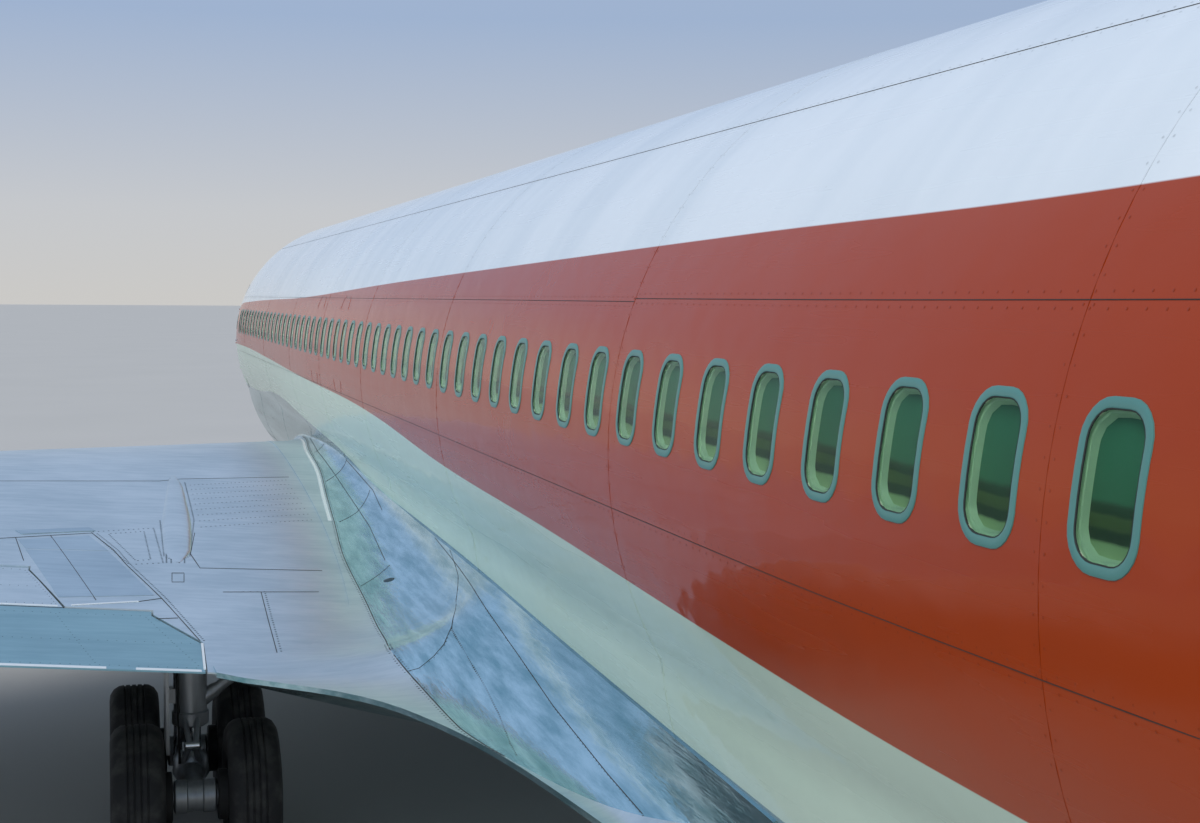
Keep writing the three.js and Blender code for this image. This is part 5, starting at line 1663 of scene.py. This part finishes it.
def make_wing_details():
    shapes = {"wing": Shape(), "stabiliser": Shape(), "fin": Shape()}
    root_details(shapes["wing"])
    for name, *row in SKIN_LINES:
        skin_lines(shapes[name], *row)
    make("fin_details", shapes["fin"].doubled(), [SEAM, WHITE_PAINT])
    make_both("wing_details", shapes["wing"], [SEAM, RIVETED, PANEL, WHITE_PAINT, METAL])
    make_both("stabiliser_details", shapes["stabiliser"], [SEAM, RIVETED])


def cut_foil(foil):
    """A wing or tail surface less the room that its hinged pieces move in."""
    cutters = [cutter for row in HINGED if row[1] is foil for cutter in pocket(row, MOVING_GAP)]
    return carved(foil_shape(foil), cutters)


def make_wings():
    fin = cut_foil(FIN).join(lathe(PROBE_PROFILE, 24, centre=(0, y_of(0), PROBE_Z)))
    make("fin_skin", fin, [WHITE_PAINT], replaces=("fin",))
    make_both("wing_skin", cut_foil(WING), [METAL], node="wing")
    make_both("stabiliser_skin", cut_foil(STABILISER), [METAL], node="stabiliser")
    make_both("fillet_skin", fillet_shape(), [POLISHED_PAINTED_REFLECTIONS, METAL], node="fillet")
    make_both("fillet_details", fillet_details(), [SEAM, RIVETED, WHITE_PAINT])


# Engines

ENGINES = (
    # name, span, inlet station, height of its axis
    ("inboard", 8300, 15100, 1780),
    ("outboard", 14300, 19750, 2330),
)
SCOOP_RISE = 800
SCOOP_PROFILE = (
    (460, 0), (460, 100), (380, 106), (330, 110), (318, 118), (316, 127), (326, 137), (350, 145), (500, 152),
    (950, 157), (1350, 140), (1700, 110), (2000, 48), (2090, 20), (2100, 0),
)
COWL_PROFILE = (
    # distance aft of the lip and radius, from the inner back edge forward, round the lip and back
    (1950, 606), (1200, 604), (420, 602), (260, 590), (150, 588), (70, 597), (22, 612), (4, 628), (0, 640),
    (8, 654), (40, 668), (90, 678), (200, 692), (500, 716), (900, 720), (1400, 708), (1700, 688), (1945, 657),
)
LIP_BANDS = 10
CORE_PROFILE = (
    (765, 0), (765, 595), (1880, 600), (1940, 590), (2000, 560), (2500, 552), (3000, 535), (3600, 470),
    (4050, 392), (4050, 372), (3820, 355), (3820, 230), (3900, 205), (4100, 130), (4280, 45), (4300, 0),
)
FAN = {"front": 430, "back": 740, "tip": 575, "hub": 190, "blades": 33}
SPINNER = ((-130, 0), (-125, 30), (-100, 80), (-55, 140))
FAN_SHAFT = {"radius": 90, "end": 895}
FAN_BLADE = {
    # at the hub and at the tip: turn, half chord, half thickness
    "turn": (0.45, 1.05),
    "chord": (125, 110),
    "thick": (9, 3.5),
    "camber": 10,
    "sunk": 15,
    "past": 10,
    "outline": ((-1, 0), (-0.6, 0.8), (0, 1), (0.6, 0.7), (1, 0), (0.6, -0.5), (0, -0.5), (-0.6, -0.5)),
}
ENGINE_SIDES = 72


def fan_shape():
    """Hub, spinner and twisted blades, about an axis that runs aft through the origin."""
    front, back, tip, hub, blades = FAN.values()
    shaft, end = FAN_SHAFT.values()
    spinner = [(front + aft, radius) for aft, radius in SPINNER]
    shape = lathe([*spinner, (front, hub), (back, hub), (back, shaft), (end, shaft), (end, 0)], 36, look=1)
    for number in range(blades):
        around = Matrix.Rotation(2 * math.pi * number / blades, 4, "Y")
        rings = []
        for share in (0, 0.2, 0.4, 0.6, 0.8, 1):
            radius = lerp(hub - FAN_BLADE["sunk"], tip + FAN_BLADE["past"], share)
            turn, chord, thick = (lerp(*FAN_BLADE[key], share) for key in ("turn", "chord", "thick"))
            outline = []
            for c, t in FAN_BLADE["outline"]:
                a, b = c * chord, t * thick + (1 - c * c) * FAN_BLADE["camber"]
                aft = a * math.cos(turn) - b * math.sin(turn)
                side = a * math.sin(turn) + b * math.cos(turn)
                outline.append(around @ Vector((radius, (front + back) / 2 + aft, side)))
            rings.append(outline)
        shape.loft(rings)
    return shape


PYLON_LINES = (
    # upper and lower line, as (aft, up) first from the cowl's lip on its axis, then from the wing's front
    (((400, 640), (560, 775), (1500, 860)), ((-250, 60), (500, 160), (3000, -60))),
    (((400, 630), (1950, 625), (2050, 480), (3600, 330), (4350, 330)), ((2900, -520),)),
)
PYLON_ENDS = {"front": 380, "back": 2900, "first": 22, "last": 10}
PYLON_STEP = 110
PYLON_HALF = {"most": 300, "edge": 4}
PYLON_LEAST = 6
PYLON_CROWN = {"rise": 60, "steps": 8}


def pylon_shape(engine):
    """A slim upright fairing from the cowl's top to the wing, rounded in front."""
    _, x, start, axis = engine
    _, front, _, level, _, _ = row_at(WING, x)
    upper, lower = (
        [(start + aft, axis + up) for aft, up in by_cowl]
        + [(front + aft, z_of(level) + up) for aft, up in by_wing]
        for by_cowl, by_wing in PYLON_LINES
    )
    first, last = start + PYLON_ENDS["front"], front + PYLON_ENDS["back"]
    rings = []
    for station in steps(first + PYLON_ENDS["first"], last - PYLON_ENDS["last"], PYLON_STEP):
        u = min(max((station - first) / (last - first), 0.0005), 0.9995)
        half = PYLON_HALF["most"] * half_thickness(u) + PYLON_HALF["edge"]
        high = smooth(upper, 1, station)
        low = min(smooth(lower, 1, station), high - PYLON_LEAST)
        rise = min(PYLON_CROWN["rise"], (high - low) / 3)
        ring = []
        for k in range(PYLON_CROWN["steps"] + 1):
            angle = math.pi * k / PYLON_CROWN["steps"]
            ring.append((x + half * math.cos(angle), y_of(station), high - rise + rise * math.sin(angle)))
        rings.append([*ring, (x - half, y_of(station), low), (x + half, y_of(station), low)])
    return Shape().loft(rings)


COWL_RINGS = (330, 1130, 1690)
COWL_TURNS = range(-90, 271, 10)
COWL_LINES = (-78, -102, 12, 168)
LATCHES = (450, 700, 950, 1300, 1520)
LATCH = {"turns": (-87, -93), "length": 90}
COVERS = {"turns": (30, 150), "aft": 900, "radius": 60}
COWL_RIVET = (60, 5, 2.0)
PYLON_RIVETS = {"rises": range(740, 1100, 90), "afts": range(400, 4200, 60), "out": 900, "steepest": 0.6}


def on_cowl(engine):
    """The cowl's outside, by turn in degrees and distance aft of its lip."""
    _, x, station, z = engine
    outer = COWL_PROFILE[LIP_BANDS:]

    def surface(turn, aft):
        for (a, ra), (b, rb) in zip(outer, outer[1:]):
            if aft <= b:
                break
        radius = lerp(ra, rb, (aft - a) / (b - a)) * math.cos(math.pi / ENGINE_SIDES) + 1.5
        out = Vector((math.cos(math.radians(turn)), 0, math.sin(math.radians(turn))))
        return Vector((x, y_of(station) + aft, z)) + out * radius, out

    return surface


def cowl_details(engine):
    """Seams with rivets round and along a cowl, its latches and its round access covers."""
    shape = Shape()
    surface = on_cowl(engine)
    for aft in COWL_RINGS:
        line = [(turn, aft) for turn in COWL_TURNS]
        ribbon(shape, surface, line, width=5, lift=1.4)
        rivets_by(shape, surface, line, ((0, -RIVETS_OFF), (0, RIVETS_OFF)), COWL_RIVET)
    for turn in COWL_LINES:
        ribbon(shape, surface, [(turn, COWL_RINGS[0]), (turn, COWL_RINGS[-1])], width=5, lift=1.4, step=60)
    low, high = LATCH["turns"]
    for aft in LATCHES:
        back = aft + LATCH["length"]
        patch(shape, surface, ((low, aft), (high, aft), (high, back), (low, back)), 6, 2, 3)
    for turn in COVERS["turns"]:
        point, normal = surface(turn, COVERS["aft"])
        shape.join(plain_rod(point - normal * 4, point + normal * 3, COVERS["radius"], 24, 2))
    return shape


def pylon_details(engine):
    """Rivet rows along a pylon's two faces, found on the frame's own piece."""
    name, x, station, z = engine
    tree = tree_of(f"pylon_{name}_left")
    shape = Shape()
    for side in (1, -1):
        for rise in PYLON_RIVETS["rises"]:
            for aft in PYLON_RIVETS["afts"]:
                start = Vector((x + side * PYLON_RIVETS["out"], y_of(station) + aft, z + rise))
                place, normal, _, _ = tree.ray_cast(start * MODEL, Vector((-side, 0, 0)))
                if place is not None and abs(normal.x) >= PYLON_RIVETS["steepest"]:
                    rivet(shape, place / MODEL, normal, 5, 2.0, 1)
    return shape


# The scoop's mouth is closed by a near-black disc and wall: painted shade of its deep inside.
SCOOP_LOOKS = [1] * 2 + [2] * 5 + [0] * 7
LIP_LOOKS = [1 if 2 <= band < LIP_BANDS else 0 for band in range(len(COWL_PROFILE))]
CORE_LOOKS = [1] * 2 + [0] * 6 + [1] * 7


def make_engines():
    fan = fan_shape()
    for engine in ENGINES:
        name, x, station, z = engine
        spot = Matrix.Translation((x, y_of(station), z))
        pylon = pylon_shape(engine)
        if name == "inboard":
            above = Matrix.Translation((x, y_of(station), z + SCOOP_RISE))
            pylon.join(lathe(SCOOP_PROFILE, 48, looks=SCOOP_LOOKS).moved(above))
        cowl = lathe(COWL_PROFILE, ENGINE_SIDES, closed=True, looks=LIP_LOOKS).moved(spot)
        core = lathe(CORE_PROFILE, ENGINE_SIDES, looks=CORE_LOOKS).moved(spot)
        details = cowl_details(engine).join(pylon_details(engine))
        make_both(f"engine_details_{name}", details, [SEAM, RIVETED, CHROME])
        make_both(f"pylon_fairing_{name}", pylon, [METAL, DARK, CHROME], node=f"pylon_{name}")
        make_both(f"cowl_skin_{name}", cowl, [METAL, CHROME], node=f"cowl_{name}")
        make_both(f"core_skin_{name}", core, [METAL, HOT_STEEL], node=f"engine_{name}")
        rotor, own = fan.moved(spot), f"fan_{name}"
        make_both(f"fan_rotor_{name}", rotor, [HOT_STEEL, METAL], body=own, node=own)


# Landing gear

MAIN_GEAR = {"x": 3365, "station": 22300, "spread": 440, "radius": 585, "width": 410, "axle": 80}
NOSE_GEAR = {"x": 0, "station": 4320, "spread": 300, "radius": 495, "width": 330, "axle": 55}
TRUCK = 710


RIM = 0.52
WHEEL_SIDES = {"tyre": 64, "wheel": 48}
GROOVES = {"places": (-0.36, -0.12, 0.12, 0.36), "half": 9, "foot": 6, "depth": 11}
BOLTS = {"count": 10, "round": 0.66, "length": 22, "radius": 13}
CAP = {"length": 40, "radius": 0.85}


def wheel_pair(gear):
    """Two tyres with grooves, their wheels and their axle, on an axis across the aircraft."""
    radius, half, spread, axle = gear["radius"], gear["width"] / 2, gear["spread"], gear["axle"]
    rim = radius * RIM
    tread = []
    for place in GROOVES["places"]:
        middle, foot = place * half, radius - GROOVES["depth"]
        tread += [(middle - GROOVES["half"], radius), (middle - GROOVES["foot"], foot)]
        tread += [(middle + GROOVES["foot"], foot), (middle + GROOVES["half"], radius)]
    flank = [(0.7, rim), (0.86, rim * 1.08), (0.98, radius * 0.7), (1, radius * 0.78)]
    flank += [(0.97, radius * 0.86), (0.82, radius * 0.945), (0.6, radius * 0.99)]
    tyre = [(-out * half, r) for out, r in flank] + tread + [(out * half, r) for out, r in reversed(flank)]
    wheel = [(-0.7, rim), (-0.74, rim - 14), (-0.6, rim - 34), (-0.5, rim * 0.8), (-0.5, axle * 1.5)]
    wheel += [(-0.62, axle * 1.45), (-0.62, axle), (0.62, axle * 0.9), (0.62, axle * 1.3), (0.5, axle * 1.5)]
    wheel += [(0.38, rim * 0.5), (0.42, rim * 0.8), (0.6, rim - 34), (0.74, rim - 14), (0.7, rim)]
    shape = Shape()
    for sign in (1, -1):
        ring = [(sign * (spread + out), r) for out, r in tyre]
        ring.append((sign * spread, rim - 8))
        shape.join(lathe(ring, WHEEL_SIDES["tyre"], axis=(1, 0, 0), closed=True))
        face = [(sign * (spread + out * half), r) for out, r in wheel]
        shape.join(lathe(face, WHEEL_SIDES["wheel"], axis=(1, 0, 0), closed=True, look=1))
        out = Vector((sign * (spread + 0.38 * half), 0, 0))
        for number in range(BOLTS["count"]):
            angle = 2 * math.pi * number / BOLTS["count"]
            foot = out + Vector((0, math.cos(angle), math.sin(angle))) * rim * BOLTS["round"]
            tip = foot + Vector((sign * BOLTS["length"], 0, 0))
            shape.join(plain_rod(foot, tip, BOLTS["radius"], 6, 2))
        cap = Vector((sign * (spread + 0.5 * half), 0, 0))
        tip = cap + Vector((sign * CAP["length"], 0, 0))
        shape.join(plain_rod(cap, tip, axle * CAP["radius"], 24, 2))
    return shape.join(plain_rod((-spread, 0, 0), (spread, 0, 0), axle, 32, 2))


AXLE = MAIN_GEAR["radius"]
BEAM = (
    (0, 60), (0.02, 100), (0.12, 112), (0.3, 92), (0.42, 118), (0.58, 118), (0.7, 92), (0.88, 112),
    (0.98, 100), (1, 60),
)
HUB = ((0, 110), (0.04, 132), (0.3, 132), (0.33, 120), (0.67, 120), (0.7, 132), (0.96, 132), (1, 110))
BRAKE = ((0, 190), (0.1, 200), (0.9, 200), (1, 190))
CYLINDER = (
    (0, 118), (0.015, 150), (0.09, 150), (0.1, 136), (0.45, 136), (0.46, 146), (0.52, 146), (0.53, 136),
    (1, 136),
)
SIDE_BRACE = ((0, 50), (0.04, 62), (0.12, 62), (0.16, 48), (0.86, 48), (0.9, 60), (1, 60))
MAIN_BARS = (
    # start and end as (out, aft, height) from the leg, radius or profile, sides, look
    ((0, -TRUCK - 80, AXLE), (0, TRUCK + 80, AXLE), BEAM, 24, 0),
    *(((-165, aft, AXLE), (165, aft, AXLE), HUB, 24, 0) for aft in (-TRUCK, TRUCK)),
    *(((175, aft, AXLE), (255, aft, AXLE), BRAKE, 32, 2) for aft in (-TRUCK, TRUCK)),
    *(((-175, aft, AXLE), (-255, aft, AXLE), BRAKE, 32, 2) for aft in (-TRUCK, TRUCK)),
    ((0, 0, AXLE - 60), (0, 0, AXLE + 190), ((0, 120), (0.2, 150), (0.8, 140), (1, 100)), 24, 0),
    ((0, 0, AXLE + 150), (0, 0, 1060), 84, 32, 1),
    ((0, 0, 980), (0, 0, 2300), CYLINDER, 32, 0),
    ((-40, 0, 1150), (-1280, 0, 2050), SIDE_BRACE, 24, 0),
    ((0, -60, 1120), (0, -900, 2200), ((0, 44), (0.04, 54), (0.1, 54), (0.14, 40), (1, 40)), 24, 0),
    *(((out, 100, 1080), (out * 0.4, 330, 890), 24, 12, 0) for out in (-55, 55)),
    *(((out * 0.4, 330, 890), (out, 90, 700), 24, 12, 0) for out in (-55, 55)),
    ((-60, 330, 890), (60, 330, 890), 30, 16, 1),
    ((130, -60, AXLE + 40), (90, -40, 1900), 14, 10, 1),
    ((95, 110, AXLE + 100), (110, 90, 1850), 10, 8, 2),
)
MAIN_BLOCKS = (
    # leg door and its bracket, each as two outs, two afts and two heights
    ((180, 205), (-330, 330), (820, 1800)),
    ((100, 190), (-60, 60), (1180, 1300)),
)
STEERED = NOSE_GEAR["radius"]
NOSE_CYLINDER = (
    (0, 92), (0.02, 106), (0.1, 106), (0.12, 96), (0.5, 96), (0.52, 104), (0.6, 104), (0.62, 96), (1, 96),
)
NOSE_LAMP = ((0, 48), (0.1, 55), (0.9, 55), (1, 40))
NOSE_BARS = (
    ((0, 0, 1120), (0, 0, 2180), NOSE_CYLINDER, 32, 0),
    ((0, -40, 1350), (0, -740, 2180), ((0, 38), (0.05, 46), (0.12, 46), (0.16, 34), (1, 34)), 24, 0),
    ((-165, 0, 1530), (165, 0, 1530), 52, 20, 0),
    *(((x, -10, 1530), (x, -150, 1530), NOSE_LAMP, 20, 1) for x in (-140, 140)),
)
FORK_BARS = (
    ((0, 0, STEERED + 60), (0, 0, 1780), 68, 32, 1),
    ((0, 0, STEERED + 40), (0, 0, 1050), ((0, 80), (0.05, 92), (0.9, 92), (1, 84)), 28, 0),
    ((-98, 0, STEERED), (98, 0, STEERED), ((0, 90), (0.06, 98), (0.94, 98), (1, 90)), 32, 0),
    ((-70, -130, STEERED + 155), (70, -130, STEERED + 155), 16, 14, 1),
)
TOW_LUG = ((-60, 60), (-190, -60), (STEERED + 120, STEERED + 190))
NOSE_DOOR = {"thick": 26, "short": 40, "foot": 1180, "top": 1900}


def gear_shape(gear, bars, blocks=()):
    """A leg or fork from its bars and blocks, at its place under the aircraft."""
    x, y = gear["x"], y_of(gear["station"])
    shape = Shape()
    for start, end, size, sides, look in bars:
        build = rod if isinstance(size, tuple) else plain_rod
        ends = (Vector((x + out, y + aft, height)) for out, aft, height in (start, end))
        shape.join(build(*ends, size, sides, look))
    for outs, afts, heights in blocks:
        shape.join(block([x + out for out in outs], [y + aft for aft in afts], heights))
    return shape


def make_gear():
    looks = [RUBBER, METAL, STEEL]
    leg = gear_shape(MAIN_GEAR, MAIN_BARS, MAIN_BLOCKS)
    make_both("main_strut", leg, [STEEL, CHROME, DARK], node="main_leg")
    wheels = wheel_pair(MAIN_GEAR)
    for end, aft in (("front", -TRUCK), ("rear", TRUCK)):
        spot = Matrix.Translation((MAIN_GEAR["x"], y_of(MAIN_GEAR["station"]) + aft, AXLE))
        for side, sign in SIDES:
            name = f"main_wheels_{end}_{side}"
            make(f"{name}_pair", wheels.moved(spot).on_side(sign), looks, name, (name,))
    leg = gear_shape(NOSE_GEAR, NOSE_BARS)
    make("nose_strut", leg, [STEEL, DARK], replaces=("nose_leg",))
    front, back = y_of(NOSE_WELL["front"] + NOSE_DOOR["short"]), y_of(NOSE_WELL["back"] - NOSE_DOOR["short"])
    doors = Shape()
    for sign in (1, -1):
        faces = [sign * (NOSE_WELL["half"] + out) for out in (0, NOSE_DOOR["thick"])]
        doors.join(block(faces, (front, back), (NOSE_DOOR["foot"], NOSE_DOOR["top"])))
    make("nose_gear_doors", doors, [WHITE_PAINT])
    fork = gear_shape(NOSE_GEAR, FORK_BARS, (TOW_LUG,))
    make("nose_piston", fork, [STEEL, CHROME], "nose_fork", ("nose_fork",))
    wheels = wheel_pair(NOSE_GEAR).moved(Matrix.Translation((0, y_of(NOSE_GEAR["station"]), STEERED)))
    make("nose_wheel_pair", wheels, looks, "nose_wheels", ("nose_wheels",))


# Small fittings, and the frame's pieces that stay in sight


BLADES = (
    # station, side of the body it stands on (1 crown, -1 keel), height, chord at its foot
    (41000, 1, 200, 260),
    (8600, -1, 260, 340),
    (11300, -1, 240, 300),
    (30500, -1, 260, 340),
)
BLADE_RINGS = (
    # share of the height, lean aft, size
    (0, 0, 1), (0.1, 0.05, 0.94), (0.9, 0.5, 0.58), (1, 0.62, 0.40),
)
BLADE = {"sides": 16, "half": 14, "sunk": 12}
BEACON = 12000
BEACON_PARTS = (
    # height, look, profile
    (120, 1, ((0, 95), (0.2, 95), (0.24, 70), (0.7, 62), (0.92, 36), (1, 4))),
    (30, 2, ((0, 110), (0.8, 108), (1, 84))),
)
PITOTS = ((2900, 2150), (3150, 2420))
PITOT = {"out": 95, "aft": 40, "ahead": 190, "stem": ((0, 26), (0.3, 20), (1, 13)),
         "head": ((0, 6), (0.2, 14), (0.8, 13), (1, 9))}
EXITS = (18300, 20200)
EXIT = {"drop": 40, "half": (255, 470), "corner": 110, "section": ((-3, -1), (-3, 1.4), (3, 1.4), (3, -1))}
TIP_LAMP = {"inset": 260, "aft": 60, "drop": 14, "half": 115}
TIP_LAMP_PROFILE = [
    (share, 34 * size)
    for share, size in ((0, 0.1), (0.08, 0.6), (0.25, 0.93), (0.5, 1), (0.75, 0.9), (0.92, 0.5), (1, 0.08))
]


def blade(shape, station, side, height, chord):
    """A swept antenna on the body's middle line."""
    foot = body_point(station, 0 if side > 0 else KEEL_ARC, -BLADE["sunk"])
    rings = []
    for share, lean, size in BLADE_RINGS:
        rise = side * (BLADE["sunk"] + share * height) if share else 0
        ring = []
        for k in range(BLADE["sides"]):
            turn = 2 * math.pi * k / BLADE["sides"]
            back = 0.5 - 0.5 * math.cos(turn)
            along = chord * (lean * 0.7 + size * back)
            half = BLADE["half"] * size * math.sin(turn) * (1.25 - 0.5 * back)
            ring.append(Vector((half, foot.y + along, foot.z + rise)))
        rings.append(ring)
    shape.loft(rings)


def make_fittings():
    """Antennas, the beacon, pitot heads, over-wing exits and wing tip lamps."""
    middle, pitots, exits = Shape(), Shape(), Shape()
    for row in BLADES:
        blade(middle, *row)
    foot = body_point(BEACON, KEEL_ARC, -6)
    for height, look, profile in BEACON_PARTS:
        middle.join(rod(foot, foot - Vector((0, 0, height)), profile, 28, look))
    make("body_fittings", middle, [WHITE_PAINT, LEFT_LAMP, CHROME])
    for place in PITOTS:
        foot, normal = on_body(*place)
        head = foot + normal * PITOT["out"]
        pitots.join(rod(foot - normal * 4, head, PITOT["stem"], 16))
        back, tip = head + Vector((0, PITOT["aft"], 0)), head - Vector((0, PITOT["ahead"], 0))
        pitots.join(rod(back, tip, PITOT["head"], 16))
    make_both("pitots", pitots, [STEEL])
    for station in EXITS:
        skin_ring(exits, station, WINDOW_ARC + EXIT["drop"], EXIT["half"], EXIT["corner"], EXIT["section"])
    make_both("exit_seams", exits, [PAINT_SEAM])
    span = WING_TIP_X - TIP_LAMP["inset"]
    middle = foil_at(WING, span, row_at(WING, span)[1] + TIP_LAMP["aft"]) - Vector((0, 0, TIP_LAMP["drop"]))
    half = Vector((0, TIP_LAMP["half"], 0))
    lamp = rod(middle - half, middle + half, TIP_LAMP_PROFILE)
    for (side, sign), look in zip(SIDES, (LEFT_LAMP, RIGHT_LAMP)):
        make(f"tip_lamp_{side}", lamp.on_side(sign), [look])


def dress_frame():
    """Gives each shown piece of the frame its own finish."""
    for name, node in frame["nodes"].items():
        if node.hide_render:
            continue
        node.data.materials.clear()
        spoiler = name.startswith("spoiler")
        node.data.materials.append(RED_PAINT if name == "rudder" else METAL if spoiler else GREY)


# Stage, light and camera

CAMERA = {
    "place": Vector((1.9835, 6.5975, 2.266)),
    "lens": 50.64,
    "left": 16.19,
    "down": 3.83,
    "roll": 0.39,
}


def make_camera():
    yaw, pitch, roll = (math.radians(CAMERA[key]) for key in ("left", "down", "roll"))
    ahead = Vector((0, -1, 0)) * math.cos(yaw) + Vector((-1, 0, 0)) * math.sin(yaw)
    level_right = Vector((0, 1, 0)) * math.sin(yaw) + Vector((-1, 0, 0)) * math.cos(yaw)
    forward = ahead * math.cos(pitch) - Vector((0, 0, 1)) * math.sin(pitch)
    up = ahead * math.sin(pitch) + Vector((0, 0, 1)) * math.cos(pitch)
    right = level_right * math.cos(roll) + up * math.sin(roll)
    up = up * math.cos(roll) - level_right * math.sin(roll)
    data = bpy.data.cameras.new("camera")
    data.lens = CAMERA["lens"]
    data.sensor_width = 36
    data.clip_start = 0.05
    data.clip_end = 1000
    camera = add_object("camera", data)
    turn = Matrix((right, up, -forward)).transposed()
    camera.matrix_world = Matrix.Translation(CAMERA["place"]) @ turn.to_4x4()
    bpy.context.scene.camera = camera


FLOOR_REACH = 400
SKY = (
    # how far up from the horizon, and the soft light from there
    (0.0, (0.70, 0.69, 0.67)),
    (0.05, (0.66, 0.68, 0.71)),
    (0.16, (0.41, 0.53, 0.74)),
    (1.0, (0.50, 0.62, 0.86)),
)
SKY_STRENGTH = 0.85
LIGHTS = (
    # name, where its light comes from, how wide the soft source looks in degrees, strength, colour
    ("key", (0.58, 0.42, 0.70), 36, 1.9, (1.0, 0.95, 0.86)),
    ("fill", (-0.7, 0.5, 0.5), 60, 0.5, (0.86, 0.93, 1.0)),
)


def make_stage():
    mesh = bpy.data.meshes.new("floor")
    corners = [(x * FLOOR_REACH, y * FLOOR_REACH, 0) for x, y in ((-1, -1), (1, -1), (1, 1), (-1, 1))]
    mesh.from_pydata(corners, [], [(0, 1, 2, 3)])
    floor = add_object("floor", mesh)
    look = Look("floor", Roughness=0.75)
    look.set(Base_Color=look.mix(look.noise(0.3, 4), (0.50, 0.475, 0.43), (0.45, 0.43, 0.39)))
    mesh.materials.append(look.material)
    world = bpy.data.worlds.new("studio")
    world.use_nodes = True
    nodes, links = world.node_tree.nodes, world.node_tree.links
    rise = nodes.new("ShaderNodeSeparateXYZ")
    links.new(nodes.new("ShaderNodeTexCoord").outputs["Generated"], rise.inputs[0])
    ramp = nodes.new("ShaderNodeValToRGB")
    links.new(rise.outputs[2], ramp.inputs[0])
    fill_ramp(ramp.color_ramp, SKY)
    sky = nodes["Background"]
    links.new(ramp.outputs[0], sky.inputs["Color"])
    sky.inputs["Strength"].default_value = SKY_STRENGTH
    bpy.context.scene.world = world
    bpy.context.scene.view_settings.view_transform = "Standard"


def make_lights():
    for name, source, wide, strength, colour in LIGHTS:
        data = bpy.data.lights.new(name, "SUN")
        data.angle = math.radians(wide)
        data.energy = strength
        data.color = colour
        light = add_object(name, data)
        light.rotation_mode = "QUATERNION"
        light.rotation_quaternion = Vector(source).to_track_quat("Z", "Y")


make_camera()
make_stage()
make_lights()
make_fuselage()
make_windows()
make_seams()
make_doors()
make_cockpit()
make_wings()
make_wing_details()
moving_trims()
make_engines()
make_gear()
make_fittings()
dress_frame()
